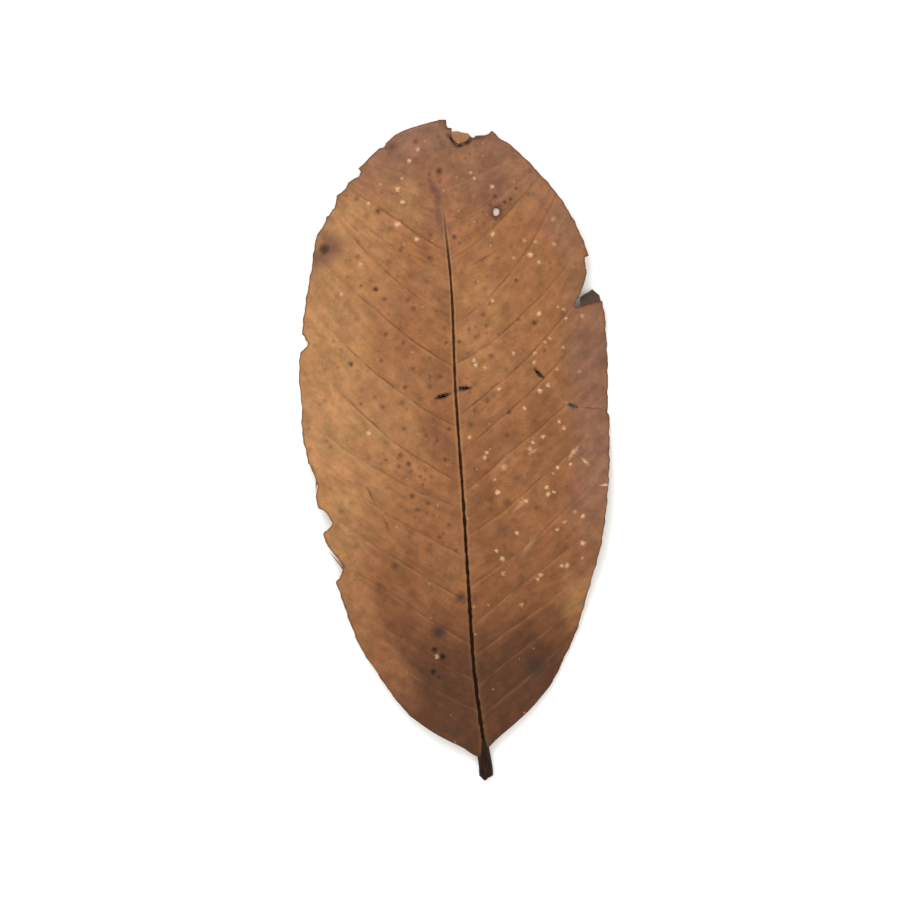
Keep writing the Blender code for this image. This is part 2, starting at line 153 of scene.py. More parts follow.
# Relief starts a little way from the midrib, and the groove ends before the broken tip.
RELIEF_START = 0.3
RELIEF_RISE = 1.6
FAINTEST_VEIN = 0.25
PUFF_START = 4.0
GROOVE_END = 98.0
GROOVE_FADE = 12.0
GROOVE_FLOOR = 0.45
GROOVE_WALL = 0.85
TAPER_BEND = 0.7
LEAST_SHARE = 0.4

# The grid: distances of the first rows from a vein, and of the first columns from the midrib.
NEAR_VEIN = (0.0, 0.11, 0.22, 0.34, 0.48, 0.68)
NEAR_MIDRIB = (-0.02, 0.1, 0.2, 0.3, 0.4, 0.5, 0.62, 0.8, 1.05, 1.35)
ROW_STEP = 0.37
COLUMNS = 100
HALVINGS = 30
LANE_JUMP = 20


def smooth_line(knots, steps=LINE_STEPS):
    """Points of a smooth curve through the knots."""
    points = np.array(knots)
    padded = np.vstack([2 * points[0] - points[1], points, 2 * points[-1] - points[-2]])
    line = []
    for before, start, end, after in zip(padded, padded[1:], padded[2:], padded[3:]):
        for step in range(steps):
            t = step / steps
            line.append(0.5 * (
                2 * start + (end - before) * t
                + (2 * before - 5 * start + 4 * end - after) * t * t
                + (3 * start - before - 3 * end + after) * t ** 3
            ))
    line.append(points[-1])
    return np.array(line)


MIDRIB = smooth_line(MIDRIB_LINE)
EDGES = {-1: smooth_line(LEFT_EDGE), 1: smooth_line(RIGHT_EDGE)}
FEET = {side: EDGES[side][:(FOOT_KNOTS - 1) * LINE_STEPS + 1] for side in EDGES}

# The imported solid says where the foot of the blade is: its box ends at the stalk's end and at
# the right edge.
box_low, box_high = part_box("leaf")
FOOT = Vector((box_high.x / MM - EDGES[1][:, 0].max(), box_low.y / MM - STALK_TIP, 0.0))


def midrib_x(y):
    return np.interp(y, MIDRIB[:, 0], MIDRIB[:, 1])


def edge_x(side, y):
    """Distance from the middle to the edge of one half, before it tore."""
    edge = EDGES[side]
    whole = np.interp(y, edge[:, 1], edge[:, 0])
    ripple = sum(lift * np.sin(2 * np.pi * y / length + side * length)
                 for lift, length in EDGE_RIPPLES)
    return whole + ripple * np.minimum(1, whole / NARROWEST)


def vein_shape(vein):
    """Start, first slope and bend of the parabola through a side vein's three places."""
    start, near, far = vein[:3]
    rise = (4 * (near - start) - (far - start)) / (2 * VEIN_STATION)
    bend = (far - 2 * near + start) / VEIN_STATION ** 2
    return start, rise, bend


def vein_line(vein):
    """A side vein's place along the leaf, as a function of the distance from the middle."""
    start, rise, bend = vein_shape(vein)
    return lambda out: start + rise * out + 0.5 * bend * out * out


def foot_line(side):
    """The blade's lower edge, carried on past its end at the slope that it has there."""
    foot = FEET[side]
    slope = (foot[-1, 1] - foot[-4, 1]) / (foot[-1, 0] - foot[-4, 0])
    return lambda out: (np.interp(out, foot[:, 0], foot[:, 1])
                        + slope * np.maximum(0, out - foot[-1, 0]))


def blend(first, second, share):
    return lambda out: (1 - share) * first(out) + share * second(out)


def rows_of(side):
    """Each row of points of one half: its line, its share of the way to the next vein, and the
    number of its field. Rows follow the veins and crowd beside them."""
    guides = [foot_line(side)] + [vein_line(vein) for vein in VEINS[side] + [TOPS[side]]]
    rows = []
    for field, (lower, upper) in enumerate(zip(guides, guides[1:])):
        span = upper(0) - lower(0)
        near = NEAR_VEIN[-1]
        between = round((span - 2 * near) / ROW_STEP)
        steps = [near + (span - 2 * near) * n / between for n in range(1, between)]
        places = list(NEAR_VEIN) + steps + [span - gap for gap in reversed(NEAR_VEIN[1:])]
        rows += [(blend(lower, upper, gap / span), gap / span, field) for gap in places]
    return rows + [(guides[-1], 1.0, len(guides) - 2)]


def reach_of(line, side):
    """How far out a row meets the edge."""
    near, far = 0.0, WIDEST
    for _ in range(HALVINGS):
        middle = 0.5 * (near + far)
        if middle < edge_x(side, line(middle)):
            near = middle
        else:
            far = middle
    return near


def smooth_step(value):
    value = np.clip(value, 0, 1)
    return value * value * (3 - 2 * value)


def bump(distance, size):
    """A rounded ridge: size holds its height and its half width."""
    return size[0] * np.exp(-(distance / size[1]) ** 2)


def taper(ends, y):
    """A size that shrinks from the foot of the blade to its tip."""
    return ends[0] + (ends[1] - ends[0]) * np.clip(y / MIDRIB_END, 0, 1) ** TAPER_BEND


def off_rest(side, x, y):
    """0 where the edge is pressed flat on the table, and 1 a little way off."""
    edge = EDGES[side]
    rest = RESTS[side]
    rest_x = side * np.interp(rest, edge[:, 1], edge[:, 0])
    return smooth_step((np.hypot(x - rest_x, y - rest) - REST_FLAT) / REST_EASE)


def lie(side, x, y):
    """Height of the blade's lower face over the table, without its relief."""
    edge = EDGES[side]
    whole = np.maximum(np.interp(y, edge[:, 1], edge[:, 0]), NARROWEST)
    ridge = RIDGE_LOW + RIDGE_ARCH * np.sin(np.pi * (y - RIDGE_START) / RIDGE_SPAN)
    gap = np.abs(y - RESTS[side])
    wave = 0.5 * WAVE_LIFTS[side] * (1 - np.cos(2 * np.pi * gap / WAVE_LENGTHS[side]))
    border = SOLID_THICK + wave + EDGE_CLIMB * gap
    height = ridge + (border - ridge) * np.minimum(1, np.abs(x) / whole) ** ROUNDING
    return (height - SOLID_THICK) * off_rest(side, x, y)


def unbent(side, x, y):
    """Distance from the midrib, measured so that the edge keeps its distance."""
    whole = np.maximum(edge_x(side, y), GROOVE_HALF[0])
    middle = midrib_x(y)
    return np.clip(side * (x - middle) / (1 - side * middle / whole), 0, None)


def vein_gaps(side, x, y):
    """Signed distance to the nearest side vein, positive on its tip side, and its number."""
    out = unbent(side, x, y)
    gaps = []
    for vein in VEINS[side]:
        start, rise, bend = vein_shape(vein)
        slope = rise + bend * out
        wander = sum(sway * np.sin(out / length + start) for sway, length in VEIN_WANDER)
        gaps.append((y - vein_line(vein)(out) - wander) / np.sqrt(1 + slope ** 2))
    gaps = np.array(gaps)
    nearest = np.argmin(np.abs(gaps), axis=0)
    return np.take_along_axis(gaps, nearest[None], axis=0)[0], nearest


def lanes(side, x, y, out):
    """How many side veins lie below each point, with its share of the way to the next. The two
    halves are kept apart, so that their streaks differ."""
    guides = [foot_line(side)] + [vein_line(vein) for vein in VEINS[side] + [TOPS[side]]]
    heights = np.array([guide(out) for guide in guides])
    below = np.clip((heights <= y).sum(axis=0) - 1, 0, len(guides) - 2)
    at = np.arange(len(y))
    low, high = heights[below, at], heights[below + 1, at]
    share = np.clip((y - low) / np.maximum(high - low, 0.5), 0, 1)
    return below + share + LANE_JUMP * (side > 0)


def rung_lines(side):
    """Where the fine cross veins of each field stand, counted outwards from the midrib."""
    draw = random.Random(11 + side)
    lines = []
    for _ in range(len(VEINS[side]) + 1):
        places = [draw.uniform(0.5, RUNG_SPACING[1])]
        while places[-1] < WIDEST:
            places.append(places[-1] + draw.uniform(*RUNG_SPACING))
        lines.append(np.array(places))
    return lines


def rung_gap(side, out, share, field):
    """Distance to the nearest cross vein, along the side veins."""
    gap = np.full(np.shape(out), WIDEST)
    for number, places in enumerate(rung_lines(side)):
        here = field == number
        bent = (out[here] + RUNG_SLANT * (share[here] - 0.5)
                + RUNG_BEND[0] * np.sin(RUNG_BEND[1] * share[here]))
        after = np.clip(np.searchsorted(places, bent), 1, len(places) - 1)
        gap[here] = np.minimum(np.abs(bent - places[after]), np.abs(bent - places[after - 1]))
    return gap


def buckle(x, y):
    """The slow and the small unevenness that drying leaves in the blade."""
    return np.array([
        sum(lift * noise.noise(Vector((a / length, b / length, length)))
            for lift, length in BUCKLES)
        for a, b in zip(x, y)
    ])


def blade_faces(side):
    """Heights and places of one half's points, for its upper and for its lower face."""
    rows = rows_of(side)
    near = np.array(NEAR_MIDRIB)
    outs, alongs = [], []
    for line, _, _ in rows:
        reach = reach_of(line, side)
        first = near * min(1.0, reach / NARROWEST)
        rest = np.linspace(first[-1], reach, COLUMNS - len(near) + 2)[1:]
        out = np.concatenate([first, rest])
        outs.append(out)
        alongs.append(line(out))
    out, y = np.concatenate(outs), np.concatenate(alongs)
    share = np.repeat([row[1] for row in rows], COLUMNS + 1)
    field = np.repeat([row[2] for row in rows], COLUMNS + 1)
    whole = np.maximum(edge_x(side, y), GROOVE_HALF[0])
    x = side * out + midrib_x(y) * np.maximum(0, 1 - out / whole)
    fade = (1 - EDGE_FADE * (out / np.maximum(whole, NARROWEST)) ** 2) * off_rest(side, x, y)
    gap, nearest = vein_gaps(side, x, y)
    near_rib = smooth_step((out - RELIEF_START) / RELIEF_RISE)
    boldness = np.array([vein[3] for vein in VEINS[side]])[nearest]
    bold = near_rib * fade * (FAINTEST_VEIN + (1 - FAINTEST_VEIN) * boldness)
    rung = rung_gap(side, out, share, field)
    sheet = lie(side, x, y) + buckle(x, y) * off_rest(side, x, y)
    sheet += FIELD_PUFF * np.sin(np.pi * share) * fade * smooth_step(out / PUFF_START)
    sheet -= EDGE_ROLL[0] * np.clip(1 - (whole - out) / EDGE_ROLL[1], 0, 1) ** 2 * fade
    ends = 1 - smooth_step((y - GROOVE_END) / GROOVE_FADE)
    sheet += bump(out - SHOULDER[1], (SHOULDER[0], SHOULDER[2])) * ends
    sunk = (bump(gap, VEIN_VALLEY) + bump(gap, VEIN_GROOVE)) * bold
    sunk += bump(rung, RUNG_GROOVE) * fade * near_rib
    wall = smooth_step((out / taper(GROOVE_HALF, y) - GROOVE_FLOOR) / GROOVE_WALL)
    sunk += taper(GROOVE_DEPTH, y) * (1 - wall) * ends
    proud = (bump(gap, VEIN_RIB) + bump(rung, RUNG_RIB)) * fade * near_rib
    lower = np.maximum(0, sheet - proud)
    upper = np.maximum(sheet + BLADE_THICK - sunk, lower + LEAST_SHARE * BLADE_THICK)
    x, y = (x + FOOT.x) * MM, (y + FOOT.y) * MM
    return np.stack([x, y, upper * MM], 1), np.stack([x, y, lower * MM], 1), len(rows)


def set_down(name, bm):
    """Makes a finished bmesh an object of the scene."""
    mesh = bpy.data.meshes.new(name)
    bm.to_mesh(mesh)
    bm.free()
    made = bpy.data.objects.new(name, mesh)
    bpy.context.scene.collection.objects.link(made)
    return made


UPPER_SKIN, LOWER_SKIN, BROKEN_EDGE = range(3)


def half_blade(side, name):
    """One half of the blade before it tore: a closed sheet."""
    upper, lower, rows = blade_faces(side)
    bm = bmesh.new()
    number = bm.verts.layers.int.new("number")
    bmesh.ops.create_grid(bm, x_segments=COLUMNS, y_segments=rows - 1, size=0.5)
    for point in bm.verts:
        row = round((point.co.y + 0.5) * (rows - 1))
        point[number] = row * (COLUMNS + 1) + round((point.co.x + 0.5) * COLUMNS)
        point.co = upper[point[number]]
    top = set(bm.faces)
    below = bmesh.ops.extrude_face_region(bm, geom=bm.faces[:], use_keep_orig=True)["geom"]
    for item in below:
        if isinstance(item, bmesh.types.BMVert):
            item.co = lower[item[number]]
    bottom = {item for item in below if isinstance(item, bmesh.types.BMFace)}
    for face in bm.faces:
        face.material_index = (UPPER_SKIN if face in top else
                               LOWER_SKIN if face in bottom else BROKEN_EDGE)
    bmesh.ops.recalc_face_normals(bm, faces=bm.faces[:])
    return set_down(name, bm)


# Torn places, each the outline of what is missing, seen from above.
TORN = {
    "left edge bites": [
        (-32.0, 54.5), (-28.1, 54.3), (-27.3, 52.0), (-26.9, 50.6), (-26.9, 50.0), (-27.3, 49.7),
        (-27.4, 48.5), (-27.2, 47.0), (-27.0, 46.1), (-26.2, 45.7), (-25.5, 45.1), (-25.0, 44.0),
        (-24.6, 43.2), (-25.0, 42.6), (-25.7, 42.0), (-26.3, 41.7), (-26.5, 41.3), (-26.2, 40.0),
        (-25.7, 38.7), (-25.6, 38.0), (-25.1, 37.3), (-24.4, 37.1), (-23.9, 36.0), (-23.1, 35.2),
        (-23.7, 34.0), (-24.2, 33.0), (-24.7, 32.7), (-24.9, 32.3), (-32.0, 32.0),
    ],
    "left notch": [(-32.0, 78.6), (-27.8, 78.1), (-27.3, 77.6), (-27.2, 77.0), (-26.7, 76.5),
                   (-26.8, 76.0), (-27.5, 75.4), (-28.3, 74.8), (-32.0, 74.5)],
    "upper left step": [(-24.0, 99.5), (-21.6, 99.1), (-21.1, 99.3), (-20.6, 100.1),
                        (-20.1, 100.5), (-19.8, 101.5), (-19.5, 102.5), (-23.0, 102.7)],
    "upper left nick": [(-18.0, 108.2), (-15.2, 107.5), (-14.8, 106.8), (-15.2, 106.0),
                        (-16.2, 105.6), (-17.3, 105.0), (-17.7, 104.1), (-18.6, 103.3),
                        (-19.4, 102.9), (-22.0, 103.6)],
    "tip nick": [(-12.6, 113.4), (-9.8, 112.0), (-10.0, 111.5), (-10.1, 110.9), (-10.5, 111.1),
                 (-11.1, 110.9), (-14.6, 110.6)],
    "broken tip": [
        (1.3, 118.0), (1.4, 115.2), (1.4, 114.0), (1.6, 113.5), (2.3, 113.4), (2.2, 112.8),
        (3.6, 112.7), (4.4, 112.3), (5.2, 112.2), (5.8, 111.5), (6.2, 111.4), (6.6, 111.8),
        (8.3, 111.8), (9.1, 112.1), (9.5, 112.6), (12.0, 114.0), (12.0, 118.0),
    ],
    "right tear": [
        (31.0, 88.9), (25.5, 88.4), (24.8, 88.2), (24.7, 87.5), (24.9, 85.3), (24.5, 84.0),
        (24.1, 83.0), (23.6, 81.9), (23.2, 81.1), (22.5, 80.3), (22.3, 79.6), (22.6, 79.2),
        (23.1, 79.3), (26.9, 80.0), (31.0, 80.6),
    ],
    "worm hole": [(8.7, 97.0), (9.2, 96.7), (9.8, 97.1), (9.9, 97.8), (9.5, 98.3), (8.9, 98.3),
                  (8.6, 97.7)],
    "slit by the midrib, left": [(-4.3, 64.5), (-3.5, 64.4), (-2.4, 64.6), (-1.45, 65.2),
                                 (-2.6, 65.2), (-3.6, 65.0)],
    "slit by the midrib, right": [(0.2, 65.65), (1.2, 65.6), (2.4, 65.95), (1.2, 66.25),
                                  (0.2, 66.2)],
    "curved slit": [(14.1, 68.6), (14.3, 67.9), (14.8, 67.2), (15.7, 66.8), (15.3, 67.5),
                    (14.8, 68.1)],
    "slit near the right edge": [(19.75, 61.75), (20.4, 61.15), (21.5, 61.05), (21.0, 61.55),
                                 (20.3, 61.85)],
}
CUT_FROM = -5.0
CUT_TO = 15.0
FRAY_STEP = 0.3
FRAY = 0.04


def frayed(outline, draw):
    """The outline with short, slightly uneven steps, as torn tissue has."""
    points = []
    for start, end in zip(outline, outline[1:] + outline[:1]):
        line = Vector(end) - Vector(start)
        steps = max(1, round(line.length / FRAY_STEP))
        aside = Vector((-line.y, line.x)).normalized()
        for step in range(steps):
            shift = aside * draw.uniform(-FRAY, FRAY) if step else Vector((0, 0))
            points.append(Vector(start) + line * (step / steps) + shift)
    return points


def prism(bm, outline, bottom, top):
    """A flat outline, seen from above, made a solid between two heights."""
    corners = [bm.verts.new(((x + FOOT.x) * MM, (y + FOOT.y) * MM, bottom * MM))
               for x, y in outline]
    face = bmesh.ops.contextual_create(bm, geom=corners)["faces"]
    up = bmesh.ops.extrude_face_region(bm, geom=face, use_keep_orig=True)["geom"]
    risen = [item for item in up if isinstance(item, bmesh.types.BMVert)]
    bmesh.ops.translate(bm, verts=risen, vec=(0, 0, (top - bottom) * MM))


def carve(leaf, outlines):
    """Cuts the outlines from a closed mesh. The new walls take the broken edge's material."""
    bm = bmesh.new()
    for outline in outlines:
        prism(bm, outline, CUT_FROM, CUT_TO)
    for face in bm.faces:
        face.material_index = BROKEN_EDGE
    bmesh.ops.recalc_face_normals(bm, faces=bm.faces[:])
    cutter = set_down("torn away", bm)
    modifier = leaf.modifiers.new("tear", "BOOLEAN")
    modifier.operation = "DIFFERENCE"
    modifier.solver = "MANIFOLD"
    modifier.object = cutter
    bpy.context.view_layer.update()
    graph = bpy.context.evaluated_depsgraph_get()
    leaf.data = bpy.data.meshes.new_from_object(leaf.evaluated_get(graph))
    leaf.modifiers.clear()
    bpy.data.objects.remove(cutter)


HALVES = {-1: half_blade(-1, "blade_left"), 1: half_blade(1, "blade_right")}
tears = random.Random(3)
outlines = [frayed(outline, tears) for outline in TORN.values()]
for blade in HALVES.values():
    carve(blade, outlines)

# Marks on the blade's upper skin: what insects, fungus and drying left in it, and lines of painted
# shadow that the folded scrap and the broken tip cast. Each round mark is a place, a radius and a
# strength, and each line a start, an end, a half width and a strength.
DARK_SPOTS = [
    (-22.4, 93.1, 0.9, 0.9), (-8.7, 111.0, 1.2, 0.6), (-12.2, 99.3, 0.7, 0.8),
    (-13.65, 85.1, 0.55, 0.95), (-19.2, 71.9, 0.5, 0.9), (-9.4, 75.1, 0.5, 0.6),
    (-12.4, 76.8, 0.45, 0.6), (-8.0, 70.1, 0.55, 0.5), (-3.05, 68.4, 0.6, 0.6),
    (-5.0, 68.5, 0.5, 0.5), (-5.2, 66.7, 0.5, 0.6), (-9.6, 67.0, 0.5, 0.6),
    (-1.6, 74.4, 0.4, 0.6), (0.8, 74.5, 0.4, 0.6), (-2.2, 58.8, 0.45, 0.8),
    (-3.3, 53.3, 0.5, 0.7), (-10.0, 53.0, 0.6, 0.8), (-11.4, 54.7, 0.5, 0.6),
    (-11.8, 52.7, 0.5, 0.5), (-17.85, 64.5, 0.4, 0.6), (-15.2, 65.6, 0.45, 0.4),
    (-14.0, 63.6, 0.45, 0.4), (-10.4, 64.3, 0.5, 0.4), (-10.3, 59.4, 0.5, 0.5),
    (-6.5, 57.9, 0.5, 0.5), (-13.6, 72.1, 0.45, 0.6), (-22.0, 76.3, 0.5, 0.4),
    (-24.0, 71.3, 0.5, 0.3), (-21.7, 71.5, 0.5, 0.3), (-12.1, 83.2, 0.5, 0.5),
    (-7.9, 82.7, 0.6, 0.5), (-7.0, 81.1, 0.6, 0.5), (-1.65, 77.1, 0.5, 0.5),
    (-16.5, 91.2, 0.6, 0.4), (-16.3, 85.9, 0.4, 0.6), (-3.4, 90.0, 0.6, 0.6),
    (-2.95, 94.2, 0.5, 0.5), (-8.6, 91.9, 0.5, 0.5), (-4.4, 111.3, 0.6, 0.5),
    (-0.6, 105.7, 0.7, 0.9), (-15.9, 101.9, 0.6, 0.5), (1.3, 93.5, 0.5, 0.8),
    (11.95, 84.85, 0.4, 0.9), (5.5, 79.0, 0.5, 0.6), (2.8, 76.6, 0.4, 0.6), (5.9, 77.0, 0.5, 0.6),
    (3.8, 75.1, 0.4, 0.5), (14.7, 76.9, 0.6, 0.8), (16.2, 71.8, 0.4, 0.6), (6.35, 71.5, 0.4, 0.5),
    (5.1, 63.3, 0.45, 0.6), (2.7, 61.8, 0.5, 0.6), (8.9, 61.0, 0.45, 0.8), (8.3, 56.9, 0.55, 0.5),
    (1.7, 59.4, 0.5, 0.5), (8.0, 75.3, 0.4, 0.4), (11.85, 77.7, 0.45, 0.6),
    (-13.8, 34.6, 0.8, 0.6),
    (9.2, 100.4, 0.45, 0.8), (8.3, 98.8, 0.4, 0.7), (10.9, 99.2, 0.45, 0.8),
    (12.0, 99.75, 0.4, 0.8), (10.3, 97.7, 0.4, 0.7), (9.1, 96.3, 0.5, 0.7),
    (13.2, 101.6, 0.35, 0.6), (9.9, 98.5, 0.5, 0.7),
    (9.2, 97.4, 1.45, 0.85),
    (-27.8, 60.7, 0.4, 0.3), (-4.5, 56.9, 0.4, 0.5),
    (-14.1, 54.0, 0.35, 0.5), (-9.6, 51.6, 0.45, 0.5), (-8.0, 50.6, 0.4, 0.5),
    (-6.0, 50.4, 0.4, 0.5), (-7.7, 49.1, 0.4, 0.5), (-9.8, 47.1, 0.6, 0.8),
    (-7.0, 45.6, 0.5, 0.7), (-8.8, 44.6, 0.4, 0.6), (-7.3, 43.9, 0.4, 0.4),
    (-3.5, 41.4, 0.45, 0.5), (-5.4, 39.3, 0.45, 0.6), (-10.8, 39.7, 0.5, 0.4),
    (-7.1, 38.1, 0.5, 0.4), (-2.5, 36.7, 0.4, 0.6), (-2.3, 28.1, 0.9, 0.6),
    (-7.7, 26.8, 0.4, 0.4), (-22.7, 45.4, 0.8, 0.3), (-23.9, 57.1, 0.4, 0.4),
    (-17.0, 30.8, 1.0, 0.4), (7.4, 44.6, 0.9, 0.5), (12.6, 43.4, 0.5, 0.5), (4.4, 45.3, 0.7, 0.4),
    (17.5, 35.7, 0.7, 0.3), (8.3, 41.5, 0.6, 0.3), (8.2, 52.3, 0.6, 0.3),
]
GREY_SPOTS = [(10.2, 14.5, 2.0, 1.0), (-6.8, 22.0, 1.4, 1.0), (-2.3, 28.0, 1.1, 0.55),
              (-22.4, 93.1, 1.0, 0.8), (-4.6, 3.6, 0.9, 0.5), (24.6, 28.0, 1.6, 0.4),
              (15.4, 100.4, 0.5, 0.5)]
BLACK_DOTS = [(-7.8, 18.9, 0.6, 0.9), (-6.4, 17.5, 0.65, 1.0), (-8.3, 14.9, 0.55, 1.0),
              (-7.4, 13.8, 0.35, 0.6)]
PALE_FLECKS = [
    (15.7, 78.6, 0.45, 0.9), (20.2, 79.0, 0.3, 0.8), (19.2, 79.5, 0.3, 0.7),
    (20.65, 77.3, 0.35, 0.7), (17.4, 73.95, 0.35, 0.6), (16.4, 73.3, 0.35, 0.6),
    (14.4, 71.4, 0.35, 0.6), (14.15, 69.75, 0.35, 0.6), (10.5, 71.65, 0.35, 0.8),
    (3.45, 70.0, 0.35, 1.0), (3.2, 70.9, 0.35, 0.8), (5.1, 69.5, 0.3, 0.6), (7.4, 81.4, 0.4, 0.6),
    (7.4, 65.4, 0.35, 0.8), (14.8, 64.5, 0.45, 0.9), (16.4, 65.4, 0.4, 0.8),
    (18.2, 68.2, 0.35, 0.7), (11.7, 61.6, 0.35, 0.7), (1.4, 57.0, 0.35, 0.8),
    (4.3, 54.0, 0.4, 0.8), (3.9, 53.1, 0.4, 0.7), (7.2, 51.2, 0.7, 0.5), (12.8, 55.2, 0.35, 0.8),
    (12.2, 54.1, 0.5, 0.6), (14.8, 56.1, 0.4, 0.8), (18.65, 57.4, 0.35, 0.8),
    (17.0, 50.4, 0.35, 0.9), (19.4, 50.8, 0.35, 0.9), (22.1, 51.1, 0.35, 0.8),
    (20.1, 53.1, 0.4, 0.6), (22.3, 67.6, 0.35, 0.5), (19.7, 72.1, 0.35, 0.5),
    (23.5, 77.6, 0.35, 0.5), (17.9, 58.7, 0.35, 0.7), (-8.8, 96.6, 0.5, 1.0),
    (-5.5, 93.7, 0.4, 1.0), (-5.8, 108.0, 0.4, 1.0), (-4.1, 110.0, 0.4, 0.7),
    (-7.6, 100.6, 0.4, 0.8), (-8.35, 103.0, 0.4, 0.8), (-11.4, 104.2, 0.35, 0.5),
    (-13.8, 100.9, 0.35, 1.0), (-7.4, 104.9, 0.35, 0.5), (-16.1, 89.9, 0.4, 0.5),
    (-20.0, 84.7, 0.4, 0.7), (-7.4, 17.6, 0.4, 0.6),
    (5.8, 46.7, 0.45, 0.9), (5.5, 49.0, 0.3, 0.5),
    (14.7, 47.0, 0.4, 0.8), (14.9, 45.7, 0.4, 0.9), (15.9, 46.0, 0.3, 0.8), (10.8, 44.7, 0.4, 0.8),
    (10.0, 44.5, 0.4, 0.5),
    (16.1, 49.4, 0.3, 0.5),
    (20.9, 41.2, 0.4, 1.0), (19.6, 42.0, 0.4, 0.4), (16.1, 39.1, 0.35, 0.8),
    (17.5, 40.4, 0.4, 0.4), (8.7, 39.0, 0.35, 0.9), (4.8, 36.1, 0.35, 0.9),
    (5.7, 34.5, 0.45, 1.0), (20.6, 36.3, 0.45, 0.9), (20.3, 33.6, 0.3, 0.6),
    (16.5, 32.5, 0.35, 0.7), (17.4, 32.5, 0.4, 0.8), (11.9, 30.4, 0.35, 0.7),
    (12.5, 31.1, 0.35, 0.7), (8.6, 26.0, 0.4, 0.5), (5.7, 31.9, 0.45, 0.5),
    (-16.8, 59.1, 0.45, 0.9), (8.3, 93.5, 0.4, 0.9), (8.9, 102.2, 0.4, 0.8),
    (14.8, 89.3, 0.5, 0.9), (15.9, 91.6, 0.35, 0.5), (16.3, 87.8, 0.4, 0.6),
    (11.9, 88.9, 0.35, 0.5), (19.3, 91.0, 0.4, 0.5), (5.1, 104.9, 0.35, 0.5),
    (5.7, 103.9, 0.4, 0.5), (19.5, 95.5, 0.45, 0.4), (13.9, 92.0, 0.35, 0.4),
]
DARK_LINES = [
    ((-18.0, 49.6), (-16.6, 46.3), 0.25, 0.55),
    ((-15.6, 44.2), (-14.2, 40.7), 0.25, 0.5), ((21.5, 61.1), (26.9, 60.2), 0.16, 0.45),
    ((4.3, 88.2), (8.3, 90.2), 0.2, 0.5),
]
GREY_LINES = [((-3.2, 27.4), (-1.6, 28.7), 0.3, 0.8), ((-2.3, 26.7), (-1.1, 27.5), 0.25, 0.7)]
# Painted shadow beside the folded scrap at the tip and along the broken tip's edge.
PAINTED_FOLD_SHADOWS = [
    ((1.5, 112.2), (2.9, 110.2), 0.45, 0.9), ((2.9, 110.0), (4.2, 110.1), 0.4, 0.9),
    ((4.2, 110.1), (5.8, 111.1), 0.4, 0.9), ((5.9, 111.2), (8.8, 111.5), 0.35, 0.4),
    ((1.2, 115.1), (1.1, 113.7), 0.4, 0.35), ((1.3, 113.3), (2.1, 113.2), 0.3, 0.45),
]
PALE_LINES = [
    ((24.6, 46.5), (26.2, 46.5), 0.22, 0.9), ((19.3, 51.9), (20.9, 53.6), 0.3, 0.5),
    ((21.6, 51.6), (22.6, 50.6), 0.3, 0.6), ((8.6, 43.2), (11.0, 45.0), 0.4, 0.3),
    ((5.0, 49.6), (8.6, 54.2), 0.6, 0.12), ((12.2, 53.2), (13.2, 53.9), 0.3, 0.5),
    ((9.4, 35.0), (12.2, 38.4), 0.5, 0.2), ((19.6, 62.0), (21.3, 61.3), 0.22, 0.9),
]
OFF_MIDLINE = 0.05


def rim_gap(mesh, x, y, side):
    """Distance from each point to the nearest edge of the blade, tear, slit or hole."""
    on_rim = sorted({index for face in mesh.polygons if face.material_index == BROKEN_EDGE
                     for index in face.vertices})
    on_rim = [i for i in on_rim if side * (x[i] - midrib_x(y[i])) > OFF_MIDLINE]
    tree = kdtree.KDTree(len(on_rim))
    for index in on_rim:
        tree.insert((x[index], y[index], 0), index)
    tree.balance()
    return np.array([tree.find((a, b, 0))[2] for a, b in zip(x, y)])


def keep(mesh, name, values):
    mesh.attributes.new(name, "FLOAT", "POINT").data.foreach_set("value", values)


# A vein's dark line, painted shade on the tip side of its groove, and its light line, painted
# highlight on the foot side: distance from its middle, and width. Each fades out towards the edge,
# from one share of the way there, over another.
VEIN_SHADE = (0.09, 0.14)
VEIN_HIGHLIGHT = (-0.28, 0.17)
SHADE_FADE = (0.55, 0.4)
HIGHLIGHT_FADE = (0.7, 0.3)
RIM_REACH = 5.0


def mark_blade(blade, side):
    """Writes on each point what the skin's material reads there."""
    mesh = blade.data
    places = np.zeros(len(mesh.vertices) * 3)
    mesh.vertices.foreach_get("co", places)
    x, y, _ = places.reshape(-1, 3).T / MM
    x, y = x - FOOT.x, y - FOOT.y
    out = unbent(side, x, y)
    gap, nearest = vein_gaps(side, x, y)
    dark, light = (np.array([vein[n] for vein in VEINS[side]])[nearest] for n in (3, 4))
    reach = out / np.maximum(edge_x(side, y), 1)
    dark = dark * (1 - smooth_step((reach - SHADE_FADE[0]) / SHADE_FADE[1]))
    light = light * (1 - smooth_step((reach - HIGHLIGHT_FADE[0]) / HIGHLIGHT_FADE[1]))
    keep(mesh, "vein_shade", dark * np.exp(-((gap - VEIN_SHADE[0]) / VEIN_SHADE[1]) ** 2))
    keep(mesh, "vein_highlight", light * np.exp(-((gap - VEIN_HIGHLIGHT[0]) / VEIN_HIGHLIGHT[1]) ** 2))
    keep(mesh, "vein_gap", np.abs(gap))
    keep(mesh, "midrib", out / taper(GROOVE_HALF, y))
    keep(mesh, "rim", np.minimum(rim_gap(mesh, x, y, side), RIM_REACH))
    keep(mesh, "out", out)
    keep(mesh, "lane", lanes(side, x, y, out))


for side, blade in HALVES.items():
    mark_blade(blade, side)


def linear(hex_colour):
    """An sRGB hex value as the linear colour that a shader takes."""
    parts = [int(hex_colour[n:n + 2], 16) / 255 for n in (1, 3, 5)]
    return tuple(c / 12.92 if c <= 0.04045 else ((c + 0.055) / 1.055) ** 2.4
                 for c in parts) + (1.0,)


